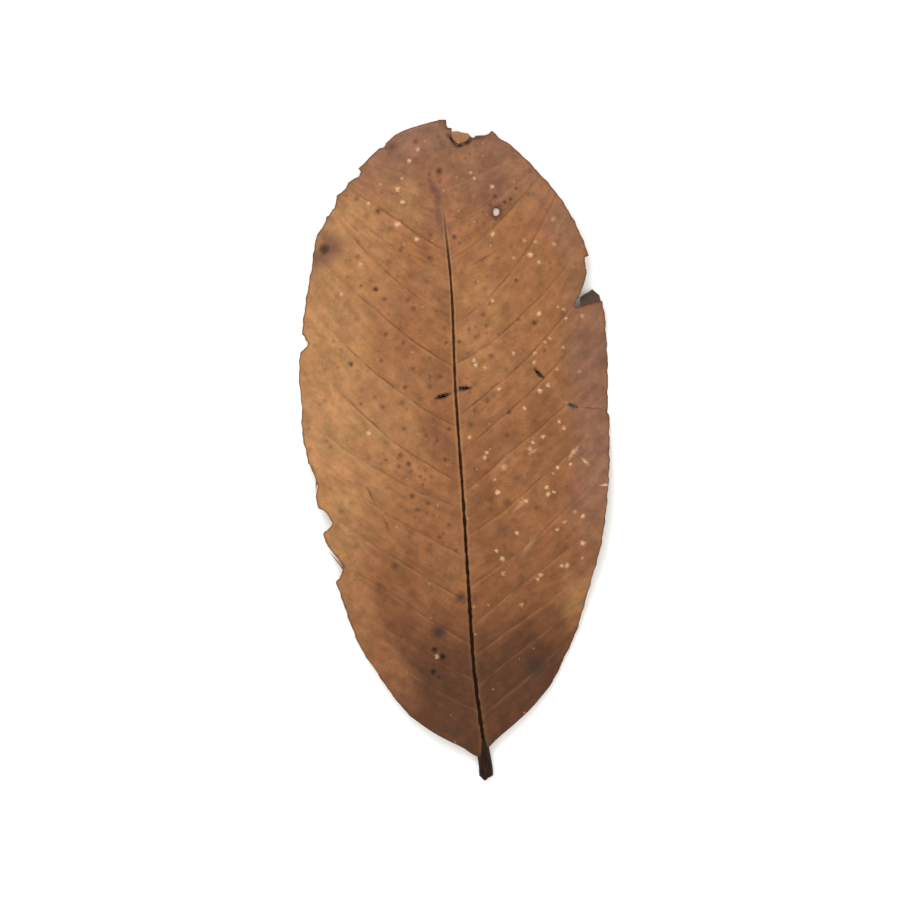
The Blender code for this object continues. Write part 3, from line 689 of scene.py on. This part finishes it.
def add(tree, kind, inputs, **settings):
    """Adds a node, sets it, and fills or links its inputs."""
    made = tree.nodes.new(kind)
    for name, value in settings.items():
        setattr(made, name, value)
    for name, value in inputs.items():
        if isinstance(value, bpy.types.NodeSocket):
            tree.links.new(value, made.inputs[name])
        else:
            made.inputs[name].default_value = value
    return made


def new_skin(name):
    """A new material, its nodes, and its shader."""
    material = bpy.data.materials.new(name)
    material.use_nodes = True
    tree = material.node_tree
    return material, tree, tree.nodes["Principled BSDF"]


LEAF_IOR = 1.45


def dull(skin, roughness):
    """Matt, dry plant tissue with very little shine."""
    skin.inputs["Roughness"].default_value = roughness
    skin.inputs["IOR"].default_value = LEAF_IOR
    skin.inputs["Specular IOR Level"].default_value = 0.2


def mix(tree, factor, first, second, how="MIX"):
    """Lays the second colour over the first."""
    made = add(tree, "ShaderNodeMix", {0: factor, 6: first, 7: second},
               data_type="RGBA", blend_type=how)
    return made.outputs[2]


def spread(tree, value, low, high, to_low=0.0, to_high=1.0):
    """Spreads a value between two limits to another range, eased at both ends."""
    return add(tree, "ShaderNodeMapRange",
               {"Value": value, 1: low, 2: high, 3: to_low, 4: to_high},
               interpolation_type="SMOOTHSTEP").outputs[0]


def scaled(tree, colour, value):
    return add(tree, "ShaderNodeVectorMath", {0: colour, "Scale": value},
               operation="SCALE").outputs[0]


def measured(tree, name):
    return add(tree, "ShaderNodeAttribute", {}, attribute_name=name).outputs["Fac"]


def grain(tree, place, size, detail=2.0, rough=0.5):
    """Cloudy variation whose patches are about this many millimetres across."""
    return add(tree, "ShaderNodeTexNoise",
               {"Vector": place, "Scale": 1 / size, "Detail": detail, "Roughness": rough})


def leaf_place(tree):
    """A point's place on the leaf in millimetres, from the foot of the blade."""
    at = add(tree, "ShaderNodeTexCoord", {}).outputs["Object"]
    return add(tree, "ShaderNodeMapping",
               {"Vector": at, "Location": -FOOT, "Scale": (1 / MM, 1 / MM, 1 / MM)}).outputs[0]


MARK_SOFTNESS = 1.3


def strongest(tree, gap, size, strength, others):
    """A mark's cover, which falls off from its middle, or that of the others where stronger."""
    slope = strength * MARK_SOFTNESS
    cover = add(tree, "ShaderNodeMath", {0: gap, 1: -slope / (MARK_SOFTNESS * size), 2: slope},
                operation="MULTIPLY_ADD").outputs[0]
    return add(tree, "ShaderNodeMath", {0: cover, 1: others}, operation="MAXIMUM").outputs[0]


def marks_cover(tree, place, spots, lines):
    """How strongly each point lies in one of the round marks, or of the lines."""
    cover = 0.0
    for across, along, radius, strength in spots:
        gap = add(tree, "ShaderNodeVectorMath", {0: place, 1: (across, along, 0.0)},
                  operation="DISTANCE").outputs["Value"]
        cover = strongest(tree, gap, radius, strength, cover)
    for start, end, half, strength in lines:
        way = Vector(end) - Vector(start)
        middle = (Vector(start) + Vector(end)) / 2
        here = add(tree, "ShaderNodeMapping",
                   {"Vector": place, "Location": (middle.x, middle.y, 0.0),
                    "Rotation": (0, 0, math.atan2(way.y, way.x)),
                    "Scale": (way.length / 2 + half, half, 1.0)}, vector_type="TEXTURE")
        gap = add(tree, "ShaderNodeVectorMath", {0: here.outputs[0]},
                  operation="LENGTH").outputs["Value"]
        cover = strongest(tree, gap, 1.0, strength, cover)
    return add(tree, "ShaderNodeClamp", {"Value": cover}).outputs[0]


# Six tones of the dry skin, the colours along the leaf, and soft lighter and darker patches that
# lie over them: centre, half width, half length, turn in degrees, tone and strength.
FOOT_BROWN = "#4C2E1C"
CHESTNUT = "#70462A"
HAZEL = "#825636"
TAN = "#966C46"
DUN = "#745240"
UMBER = "#664436"
ALONG = [(0.0, FOOT_BROWN), (15.0, FOOT_BROWN), (28.0, CHESTNUT), (50.0, HAZEL), (94.0, HAZEL),
         (114.0, DUN)]
PATCHES = [
    ((-25, 68), 13, 38, 4, TAN, 1.0),
    ((-17, 92), 10, 16, -12, TAN, 0.7),
    ((-24, 36), 7, 22, 8, TAN, 0.45),
    ((26, 62), 9, 40, -2, DUN, 0.85),
    ((5, 76), 6, 16, 0, TAN, 0.4),
    ((-2.6, 60), 3.4, 24, 0, CHESTNUT, 0.5),
    ((16, 55), 8, 13, 0, CHESTNUT, 0.7),
    ((-12, 60), 6, 14, 0, TAN, 0.5),
    ((4, 46), 5, 20, 0, CHESTNUT, 0.7),
    ((9, 101), 5, 8, 0, UMBER, 0.6),
    ((-0.2, 100), 1.4, 8, 3, UMBER, 0.9),
    ((-6.5, 100), 4, 8, 0, TAN, 0.35),
    ((-17, 17), 4.5, 12, 31, HAZEL, 0.7),
    ((-4, 34), 5, 9, 0, HAZEL, 0.5),
    ((21, 28), 5, 8, -25, TAN, 0.5),
    ((21, 94), 4, 9, 0, DUN, 0.6),
    ((-9, 111), 5, 4, 0, DUN, 0.6),
    ((7, 112), 4, 2.5, 0, UMBER, 0.5),
    ((6, 12), 16, 11, 20, FOOT_BROWN, 0.8),
    ((-8, 14), 8, 8, 0, FOOT_BROWN, 0.4),
    ((-22.4, 92.6), 3.5, 4, 0, UMBER, 0.7),
]


def upper_skin():
    """Dry leaf, upper side: a thin waxed skin, matt where it has weathered, so it shows soft
    highlights at low angles. Brown from tannin, paler where the skin has lifted. Its colour also
    carries painted shade and painted highlight along the veins and beside the midrib, and painted
    shadow by the folded tip."""
    material, tree, skin = new_skin("dry_guava_leaf_upper_skin")
    place = leaf_place(tree)
    cloud = grain(tree, place, 9.0)
    wander = add(tree, "ShaderNodeVectorMath",
                 {0: cloud.outputs["Color"], 1: (0.5, 0.5, 0.5)}, operation="SUBTRACT")
    bent_place = add(tree, "ShaderNodeVectorMath",
                     {0: wander.outputs[0], 1: (9, 9, 0), 2: place},
                     operation="MULTIPLY_ADD").outputs[0]
    split = add(tree, "ShaderNodeSeparateXYZ", {0: bent_place})
    length = ALONG[-1][0]
    share = add(tree, "ShaderNodeMath", {0: split.outputs[1], 1: length}, operation="DIVIDE")
    ramp = add(tree, "ShaderNodeValToRGB", {0: share.outputs[0]})
    stops = ramp.color_ramp.elements
    stops.remove(stops[1])
    stops[0].color = linear(ALONG[0][1])
    for along, tone in ALONG[1:]:
        stops.new(along / length).color = linear(tone)
    colour = ramp.outputs[0]
    for (across, along), width, height, turn, tone, strength in PATCHES:
        here = add(tree, "ShaderNodeMapping",
                   {"Vector": bent_place, "Location": (across, along, 0),
                    "Rotation": (0, 0, math.radians(turn)), "Scale": (width, height, 1e4)},
                   vector_type="TEXTURE")
        gap = add(tree, "ShaderNodeVectorMath", {0: here.outputs[0]}, operation="LENGTH")
        cover = spread(tree, gap.outputs["Value"], 0.25, 1.15, strength, 0.0)
        colour = mix(tree, cover, colour, linear(tone))
    # The leaf seen flat, slightly distorted, for marks with uneven outlines.
    jitter = add(tree, "ShaderNodeVectorMath",
                 {0: grain(tree, place, 0.5).outputs[1], 1: (0.5, 0.5, 0.5)},
                 operation="SUBTRACT")
    uneven = add(tree, "ShaderNodeVectorMath",
                 {0: jitter.outputs[0], 1: (0.5, 0.5, 0), 2: place},
                 operation="MULTIPLY_ADD").outputs[0]
    uneven = add(tree, "ShaderNodeVectorMath", {0: uneven, 1: (1, 1, 0)},
                 operation="MULTIPLY").outputs[0]

    # Streaks along the side veins, blotches, and fine grain.
    along_vein = add(tree, "ShaderNodeMath", {0: measured(tree, "out"), 1: 0.28},
                     operation="MULTIPLY").outputs[0]
    across_vein = add(tree, "ShaderNodeMath", {0: measured(tree, "lane"), 1: 4.0},
                      operation="MULTIPLY").outputs[0]
    lane_place = add(tree, "ShaderNodeCombineXYZ", {0: along_vein, 1: across_vein}).outputs[0]
    streak = grain(tree, lane_place, 1.0, 3.0, 0.6).outputs[0]
    colour = scaled(tree, colour, spread(tree, streak, 0.3, 0.7, 0.88, 1.12))
    mottle = grain(tree, place, 2.6, 4.0, 0.6).outputs[0]
    colour = scaled(tree, colour, spread(tree, mottle, 0.3, 0.7, 0.84, 1.14))
    redder = grain(tree, place, 6.0, 3.0, 0.6).outputs[1]
    hue = mix(tree, 0.10, (0.5, 0.5, 0.5, 1.0), redder)
    colour = mix(tree, 1.0, colour, scaled(tree, hue, 2.0), "MULTIPLY")
    fine = grain(tree, place, 0.8, 3.0, 0.65).outputs[0]
    colour = scaled(tree, colour, spread(tree, fine, 0.25, 0.75, 0.95, 1.05))

    # The net of fine veins: about 1.7 mm from one to the next, and 0.55 mm within that.
    for size, width, lighter in ((1.7, 0.07, 1.09), (0.55, 0.12, 1.04)):
        lines = add(tree, "ShaderNodeTexVoronoi", {"Vector": uneven, "Scale": 1 / size},
                    voronoi_dimensions="2D", feature="DISTANCE_TO_EDGE").outputs["Distance"]
        colour = scaled(tree, colour, spread(tree, lines, 0.0, width / size ** 0.5,
                                             lighter, 0.99))

    # Specks a few tenths of a millimetre wide, at most one in each cell, and most of them near
    # the midrib.
    spine = spread(tree, measured(tree, "out"), 4.0, 18.0, 0.0, 0.3)
    for cell, radius, tone, chance, strength in ((3.4, 1.30, "#5A3826", 0.2, 0.4),
                                                 (2.3, 0.60, "#52301F", 0.45, 0.45),
                                                 (1.5, 0.38, "#5A3520", 0.5, 0.3),
                                                 (2.6, 0.40, "#A8815A", 0.7, 0.6)):
        cells = add(tree, "ShaderNodeTexVoronoi", {"Vector": uneven, "Scale": 1 / cell},
                    voronoi_dimensions="2D")
        drawn = add(tree, "ShaderNodeSeparateColor", {0: cells.outputs["Color"]}).outputs[0]
        limit = add(tree, "ShaderNodeMath", {0: spine, 1: chance}, operation="ADD").outputs[0]
        size = add(tree, "ShaderNodeMapRange",
                   {"Value": drawn, 1: limit, 2: 1.0, 3: 0.0, 4: radius / cell}).outputs[0]
        speck = add(tree, "ShaderNodeMapRange",
                    {"Value": cells.outputs["Distance"], 1: 0.0, 2: size, 3: strength, 4: 0.0},
                    interpolation_type="SMOOTHSTEP")
        colour = mix(tree, speck.outputs[0], colour, linear(tone))

    # Painted shade and painted highlight along the side veins, shown in patches.
    patchy = grain(tree, place, 3.4, 3.0).outputs[0]
    veins = spread(tree, patchy, 0.36, 0.62, 0.12, 1.0)
    for name, tone, strength in (("vein_shade", "#58321B", 0.75), ("vein_highlight", "#A0764E", 0.26)):
        shown = add(tree, "ShaderNodeMath", {0: measured(tree, name), 1: veins},
                    operation="MULTIPLY").outputs[0]
        shown = add(tree, "ShaderNodeMath", {0: shown, 1: strength}, operation="MULTIPLY")
        colour = mix(tree, shown.outputs[0], colour, linear(tone))
    ragged = add(tree, "ShaderNodeVectorMath",
                 {0: jitter.outputs[0], 1: (0.9, 0.9, 0), 2: place},
                 operation="MULTIPLY_ADD").outputs[0]
    ragged = add(tree, "ShaderNodeVectorMath", {0: ragged, 1: (1, 1, 0)},
                 operation="MULTIPLY").outputs[0]
    # The fold shadow lines are painted shadow, laid on in the black dots' tone.
    for spots, lines, where, tone in ((DARK_SPOTS, DARK_LINES, uneven, "#44281A"),
                                      (GREY_SPOTS, GREY_LINES, uneven, "#3C291D"),
                                      (BLACK_DOTS, PAINTED_FOLD_SHADOWS, uneven, "#1B0F09"),
                                      (PALE_FLECKS, PALE_LINES, ragged, "#BA9872")):
        colour = mix(tree, marks_cover(tree, where, spots, lines), colour, linear(tone))

    along = add(tree, "ShaderNodeSeparateXYZ", {0: place}).outputs[1]
    rib = measured(tree, "midrib")
    # Painted highlight: paler bands on the raised shoulders beside the midrib, where they catch
    # the light.
    shoulder_highlight = add(tree, "ShaderNodeMath",
                   {0: spread(tree, rib, 1.3, 2.6, 0.45, 0.0),
                    1: spread(tree, along, 15.0, 60.0, 0.15, 1.0)},
                   operation="MULTIPLY").outputs[0]
    shoulder_highlight = add(tree, "ShaderNodeMath",
                   {0: shoulder_highlight, 1: spread(tree, along, 92.0, 104.0, 1.0, 0.0)},
                   operation="MULTIPLY").outputs[0]
    colour = mix(tree, shoulder_highlight, colour, linear("#9A6F49"))
    pale_rib = add(tree, "ShaderNodeMath",
                   {0: spread(tree, rib, 0.5, 1.4, 0.6, 0.0),
                    1: spread(tree, along, 96.0, 105.0, 0.8, 0.0)},
                   operation="MULTIPLY").outputs[0]
    colour = mix(tree, pale_rib, colour, linear("#986F4A"))
    # Its edge is ragged by a few tenths of a millimetre, so the line swells and narrows.
    knots = grain(tree, place, 1.3, 3.0).outputs[0]
    worn_rib = add(tree, "ShaderNodeMath", {0: knots, 1: 1.1, 2: rib},
                   operation="MULTIPLY_ADD").outputs[0]
    dark_rib = add(tree, "ShaderNodeMath",
                   {0: spread(tree, worn_rib, 1.15, 1.65, 1.0, 0.0),
                    1: spread(tree, along, 88.0, 104.0, 1.0, 0.0)},
                   operation="MULTIPLY").outputs[0]
    groove_tone = mix(tree, spread(tree, along, 30.0, 88.0), linear("#21130C"), linear("#3A2316"))
    colour = mix(tree, dark_rib, colour, groove_tone)
    rim = spread(tree, measured(tree, "rim"), 0.03, 0.45, 0.7, 0.0)
    colour = mix(tree, rim, colour, linear("#482A19"))
    tree.links.new(colour, skin.inputs["Base Color"])
    wax = spread(tree, grain(tree, place, 2.0).outputs[0], 0.3, 0.7, 0.56, 0.72)
    tree.links.new(wax, skin.inputs["Roughness"])
    skin.inputs["IOR"].default_value = LEAF_IOR
    tree.links.new(spread(tree, dark_rib, 0.0, 1.0, 0.15, 0.0),
                   skin.inputs["Specular IOR Level"])

    # Pores and the finest net of veins, about 0.5 mm from one to the next.
    net = add(tree, "ShaderNodeTexVoronoi", {"Vector": place, "Scale": 1 / 0.55},
              voronoi_dimensions="2D", feature="DISTANCE_TO_EDGE").outputs["Distance"]
    height = spread(tree, net, 0.0, 0.25)
    relief = add(tree, "ShaderNodeBump",
                 {"Height": height, "Strength": 0.5, "Distance": 0.05 * MM})
    relief = add(tree, "ShaderNodeBump",
                 {"Height": fine, "Strength": 0.7, "Distance": 0.16 * MM,
                  "Normal": relief.outputs[0]})
    tree.links.new(relief.outputs[0], skin.inputs["Normal"])
    return material


def lower_skin():
    """Dry leaf, lower side: felted and quite matt, paler than the top, with warmer brown veins
    that stand out of it."""
    material, tree, skin = new_skin("dry_guava_leaf_lower_skin")
    place = leaf_place(tree)
    cloud = grain(tree, place, 8.0, 3.0).outputs[0]
    colour = mix(tree, spread(tree, cloud, 0.3, 0.7), linear("#805F3F"), linear("#6E4F34"))
    fine = grain(tree, place, 0.5, 4.0, 0.7).outputs[0]
    colour = scaled(tree, colour, spread(tree, fine, 0.25, 0.75, 0.88, 1.12))
    net = add(tree, "ShaderNodeTexVoronoi", {"Vector": place, "Scale": 1 / 0.7},
              voronoi_dimensions="2D", feature="DISTANCE_TO_EDGE").outputs["Distance"]
    line = spread(tree, net, 0.02, 0.14, 0.5, 0.0)
    colour = mix(tree, line, colour, linear("#5E3E22"))
    vein = spread(tree, measured(tree, "vein_gap"), 0.2, 0.45, 0.85, 0.0)
    colour = mix(tree, vein, colour, linear("#684528"))
    tree.links.new(colour, skin.inputs["Base Color"])
    dull(skin, 0.82)
    height = spread(tree, net, 0.0, 0.3, 1.0, 0.0)
    relief = add(tree, "ShaderNodeBump",
                 {"Height": height, "Strength": 0.6, "Distance": 0.06 * MM})
    tree.links.new(relief.outputs[0], skin.inputs["Normal"])
    return material


def broken_edge():
    """Torn leaf tissue: dark, dull and fibrous, 0.3 mm high."""
    material, tree, skin = new_skin("torn_leaf_tissue")
    fibres = grain(tree, leaf_place(tree), 0.25, 3.0, 0.7).outputs[0]
    colour = mix(tree, spread(tree, fibres, 0.3, 0.7), linear("#2A1810"), linear("#4A2E1D"))
    tree.links.new(colour, skin.inputs["Base Color"])
    dull(skin, 0.85)
    return material


LEAF_TISSUE = [upper_skin(), lower_skin(), broken_edge()]


def finish_mesh(piece, materials, crease=50):
    """Gives a piece its materials, smooth shading and place in the frame."""
    piece.data.materials.clear()
    for material in materials:
        piece.data.materials.append(material)
    piece.data.shade_smooth()
    piece.data.set_sharp_from_angle(angle=math.radians(crease))
    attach(piece, "root")
    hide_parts("leaf")


for blade in HALVES.values():
    finish_mesh(blade, LEAF_TISSUE)

# Midrib and stalk, one woody strand. The blade grows from both sides of it, so it only shows as
# a rib under the blade and as the stalk, which dried nearly black and broke off short.
# Along the leaf, to the right, top, bottom, half width:
STRAND_FOOT = [
    (-7.0, -0.05, 2.42, 0.0, 1.25), (-4.6, -0.05, 2.42, 0.0, 1.25), (-3.0, -0.05, 2.34, 0.0, 1.2),
    (-1.0, -0.2, 2.33, 0.05, 1.15), (0.8, -0.2, 2.27, 0.42, 0.95), (2.4, -0.25, 2.12, 0.78, 0.9),
    (4.0, -0.3, 2.04, 1.05, 0.9), (9.0, -0.6, 2.50, 1.72, 0.9),
]
STRAND_HALF = (1.0, 0.34)
STRAND_PROUD = (1.15, 0.35)
STRAND_START = -6.6
STRAND_STEP = 0.4
COARSE_FLUTES = (0.030, 9)
FINE_FLUTES = (0.018, 17)
CHANNEL = (0.12, 0.28)
SWELL = 0.03
STRAND_SIDES = 40
STALK_END = [(-3.0, -4.3), (-1.3, -4.6), (-1.1, -5.0), (-0.8, -5.3), (-0.5, -5.6),
             (-0.3, -5.65), (0.0, -5.5), (0.2, -5.3), (0.4, -5.15), (1.1, -5.0), (1.2, -4.8),
             (3.0, -4.6), (3.0, -9.0), (-3.0, -9.0)]


def strand_at(y):
    """The strand's middle, top, bottom and half width at a place along the leaf."""
    foot = smooth_line(STRAND_FOOT)
    if y < foot[-1, 0]:
        return [float(np.interp(y, foot[:, 0], foot[:, n])) for n in range(1, 5)]
    x = float(midrib_x(y))
    under = float(lie(1, x, y) + buckle([x], [y])[0] * off_rest(1, x, y))
    top = under + 0.05
    bottom = max(0.0, under - float(taper(STRAND_PROUD, y)))
    return x, top, bottom, float(taper(STRAND_HALF, y))


def strand_tube():
    """A closed tube: a grid rolled up round the strand's line, its ends filled."""
    stations = np.arange(STRAND_START, MIDRIB_END, STRAND_STEP)
    bm = bmesh.new()
    bmesh.ops.create_grid(bm, x_segments=STRAND_SIDES, y_segments=len(stations) - 1, size=0.5)
    for point in bm.verts:
        y = stations[round((point.co.y + 0.5) * (len(stations) - 1))]
        angle = 2 * math.pi * (point.co.x + 0.5)
        x, top, bottom, half = strand_at(y)
        stalk = float(smooth_step((2.0 - y) / 3))
        coarse = math.sin(COARSE_FLUTES[1] * angle + 0.5 * math.sin(y / 2))
        fine = math.sin(FINE_FLUTES[1] * angle + y / 3)
        fluting = 1 + COARSE_FLUTES[0] * coarse + FINE_FLUTES[0] * fine
        channel = CHANNEL[0] * stalk * math.exp(-((angle - math.pi / 2) / CHANNEL[1]) ** 2)
        swell = 1 + SWELL * noise.noise(Vector((math.cos(angle), math.sin(angle), y / 2)))
        z = 0.5 * (top + bottom) + 0.5 * (top - bottom) * math.sin(angle) * (1 - channel) * swell
        point.co = ((x + half * math.cos(angle) * fluting * swell + FOOT.x) * MM,
                    (y + FOOT.y) * MM, max(0.0, z) * MM)
    bmesh.ops.remove_doubles(bm, verts=bm.verts[:], dist=1e-7)
    ends = [edge for edge in bm.edges if edge.is_boundary]
    bmesh.ops.holes_fill(bm, edges=ends, sides=0)
    bmesh.ops.recalc_face_normals(bm, faces=bm.faces[:])
    return set_down("midrib_and_stalk", bm)


def woody_strand():
    """Dry petiole and midrib: hard woody fibre, nearly black at the stalk and brown under the
    blade, with lengthwise streaks and a faint shine."""
    material, tree, skin = new_skin("dry_petiole_wood")
    place = leaf_place(tree)
    long_place = add(tree, "ShaderNodeMapping", {"Vector": place, "Scale": (1, 0.08, 1)})
    streaks = grain(tree, long_place.outputs[0], 0.22, 3.0, 0.6).outputs[0]
    along = add(tree, "ShaderNodeSeparateXYZ", {0: place}).outputs[1]
    dark = mix(tree, spread(tree, streaks, 0.35, 0.7), linear("#150B07"), linear("#301D12"))
    brown = mix(tree, spread(tree, streaks, 0.3, 0.7), linear("#55351D"), linear("#714D30"))
    colour = mix(tree, spread(tree, along, 1.0, 22.0), dark, brown)
    tree.links.new(colour, skin.inputs["Base Color"])
    skin.inputs["Roughness"].default_value = 0.6
    skin.inputs["IOR"].default_value = 1.5
    skin.inputs["Specular IOR Level"].default_value = 0.08
    relief = add(tree, "ShaderNodeBump",
                 {"Height": streaks, "Strength": 0.5, "Distance": 0.1 * MM})
    tree.links.new(relief.outputs[0], skin.inputs["Normal"])
    return material


strand = strand_tube()
carve(strand, [frayed(STALK_END, tears)])
finish_mesh(strand, [woody_strand(), woody_strand(), broken_edge()], crease=60)

# Scraps of blade that still hang on by a fold, where the blade tore: one bent down at the right
# edge, dark with painted shade, and one at the tip, folded back over the blade so that its lower
# side shows.
# Outline seen from above, the two ends of the fold, rise for each millimetre from the fold,
# height over the blade at the fold:
BENT_SCRAP = ([(23.1, 78.9), (23.5, 81.1), (24.8, 81.8), (25.8, 82.4), (27.0, 81.2), (27.2, 79.6)],
              (23.1, 79.3), (26.9, 80.0), -0.74, 0.0)
FOLDED_SCRAP = ([(2.1, 112.8), (5.2, 112.2), (5.5, 111.6), (4.7, 110.9), (3.3, 110.4),
                 (2.4, 111.3)],
                (2.1, 112.7), (5.5, 111.6), 0.28, 0.42)
SCRAP_CUTS = 4
SCRAP_CRUMPLE = (0.05, 1.3)


def scrap(name, shape, materials):
    """A flat outline made a thin sheet and bent up or down along its fold."""
    outline, start, end, rise, above = shape
    start, end = Vector(start), Vector(end)
    fold = end - start
    bm = bmesh.new()
    corners = [bm.verts.new((x, y, 0)) for x, y in outline]
    bmesh.ops.contextual_create(bm, geom=corners)
    bmesh.ops.triangulate(bm, faces=bm.faces[:])
    bmesh.ops.subdivide_edges(bm, edges=bm.edges[:], cuts=SCRAP_CUTS, use_grid_fill=True)
    for point in bm.verts:
        place = point.co.xy - start
        along = fold * (place.dot(fold) / fold.length_squared)
        foot = start + along
        gap = (place - along).length
        height = float(lie(1, foot.x, foot.y)) + BLADE_THICK + above + rise * gap
        lift, size = SCRAP_CRUMPLE
        height += lift * noise.noise(Vector((place.x, place.y, 3.0)) * size)
        point.co = ((point.co.x + FOOT.x) * MM, (point.co.y + FOOT.y) * MM, height * MM)
    bmesh.ops.recalc_face_normals(bm, faces=bm.faces[:])
    if sum(face.normal.z for face in bm.faces) < 0:
        bmesh.ops.reverse_faces(bm, faces=bm.faces[:])
    bmesh.ops.solidify(bm, geom=bm.faces[:], thickness=BLADE_THICK * MM)
    bmesh.ops.recalc_face_normals(bm, faces=bm.faces[:])
    finish_mesh(set_down(name, bm), materials)


def scrap_skin(name, first, second):
    """Leaf tissue of one scrap: dry and matt, in two browns. The bent scrap's browns are painted
    shade; the others are weathered tissue.
    """
    material, tree, skin = new_skin(name)
    cloud = grain(tree, leaf_place(tree), 1.4, 4.0, 0.65).outputs[0]
    colour = mix(tree, spread(tree, cloud, 0.35, 0.65), linear(first), linear(second))
    tree.links.new(colour, skin.inputs["Base Color"])
    dull(skin, 0.8)
    relief = add(tree, "ShaderNodeBump", {"Height": cloud, "Strength": 0.5, "Distance": 0.1 * MM})
    tree.links.new(relief.outputs[0], skin.inputs["Normal"])
    return material


# The bent scrap's dark browns are painted shade: it turns down, away from the light.
scrap("bent_scrap", BENT_SCRAP, [scrap_skin("painted_shade_leaf_tissue", "#3E3028", "#493A30")])
scrap("folded_scrap", FOLDED_SCRAP, [scrap_skin("lifted_lower_skin", "#8C6646", "#7E593B")])

# Film left in the worm hole, thin and papery, where the larva ate all but the lower skin.
FILM_MIDDLE = (9.25, 97.5)
FILM_GROWTH = 1.2
FILM_HEIGHTS = (0.05, 0.12)
FILM_REACH = 1.4


def film():
    """The hole's outline, a little larger, as a thin sheet that slopes as the blade does."""
    mesh = HALVES[1].data
    middle = Vector((FILM_MIDDLE[0] + FOOT.x, FILM_MIDDLE[1] + FOOT.y)) * MM
    near = [v.co for v in mesh.vertices if (v.co.xy - middle).length < FILM_REACH * MM]
    under = min(point.z / MM - float(lie(1, point.x / MM - FOOT.x, point.y / MM - FOOT.y))
                for point in near)
    bm = bmesh.new()
    outline = [(FILM_MIDDLE[0] + FILM_GROWTH * (x - FILM_MIDDLE[0]),
                FILM_MIDDLE[1] + FILM_GROWTH * (y - FILM_MIDDLE[1]))
               for x, y in TORN["worm hole"]]
    prism(bm, outline, *FILM_HEIGHTS)
    for point in bm.verts:
        x, y = point.co.x / MM - FOOT.x, point.co.y / MM - FOOT.y
        point.co.z += (float(lie(1, x, y)) + under) * MM
    bmesh.ops.recalc_face_normals(bm, faces=bm.faces[:])
    finish_mesh(set_down("worm_hole_film", bm),
                [scrap_skin("papery_leaf_film", "#C6B6AC", "#B6A499")])


film()

# Table, light and camera: a plain white table in soft daylight that comes from behind the tip
# and from the left, and a camera that looks straight down.
TABLE_HALF = 1.5
PHOTO_WIDTH = 164.8
PHOTO_MIDDLE = (-2.30, 54.97)
PHOTO_TURN = 4.2
LENS = 150.0
SENSOR = 36.0
DAYLIGHT = (1.0, 0.985, 0.94, 1.0)
DAYLIGHT_STRENGTH = 1.32

bm = bmesh.new()
bmesh.ops.create_grid(bm, x_segments=1, y_segments=1, size=TABLE_HALF)
table = set_down("table", bm)
paper, _, board = new_skin("matt_white_board")
board.inputs["Base Color"].default_value = linear("#F8F8F8")
board.inputs["Roughness"].default_value = 0.95
board.inputs["Specular IOR Level"].default_value = 0.0
table.data.materials.append(paper)

world = bpy.data.worlds.new("soft studio")
world.use_nodes = True
sky = world.node_tree.nodes["Background"]
sky.inputs["Color"].default_value = DAYLIGHT
sky.inputs["Strength"].default_value = DAYLIGHT_STRENGTH
bpy.context.scene.world = world


def softbox(name, place, size, power):
    """A square area light that points at the leaf."""
    light = bpy.data.lights.new(name, "AREA")
    light.size = size
    light.energy = power
    made = bpy.data.objects.new(name, light)
    made.location = place
    made.rotation_euler = (-Vector(place)).to_track_quat("-Z", "Y").to_euler()
    bpy.context.scene.collection.objects.link(made)


softbox("window", (-0.25, 0.55, 0.75), 0.5, 3.8)

lens = bpy.data.cameras.new("camera")
lens.lens = LENS
lens.sensor_width = SENSOR
lens.clip_start = 0.01
lens.clip_end = 20.0
camera = bpy.data.objects.new("camera", lens)
camera.location = ((PHOTO_MIDDLE[0] + FOOT.x) * MM, (PHOTO_MIDDLE[1] + FOOT.y) * MM,
                   LENS / SENSOR * PHOTO_WIDTH * MM)
camera.rotation_euler = (0.0, 0.0, -math.radians(PHOTO_TURN))
bpy.context.scene.collection.objects.link(camera)
bpy.context.scene.camera = camera
bpy.context.scene.view_settings.view_transform = "Standard"
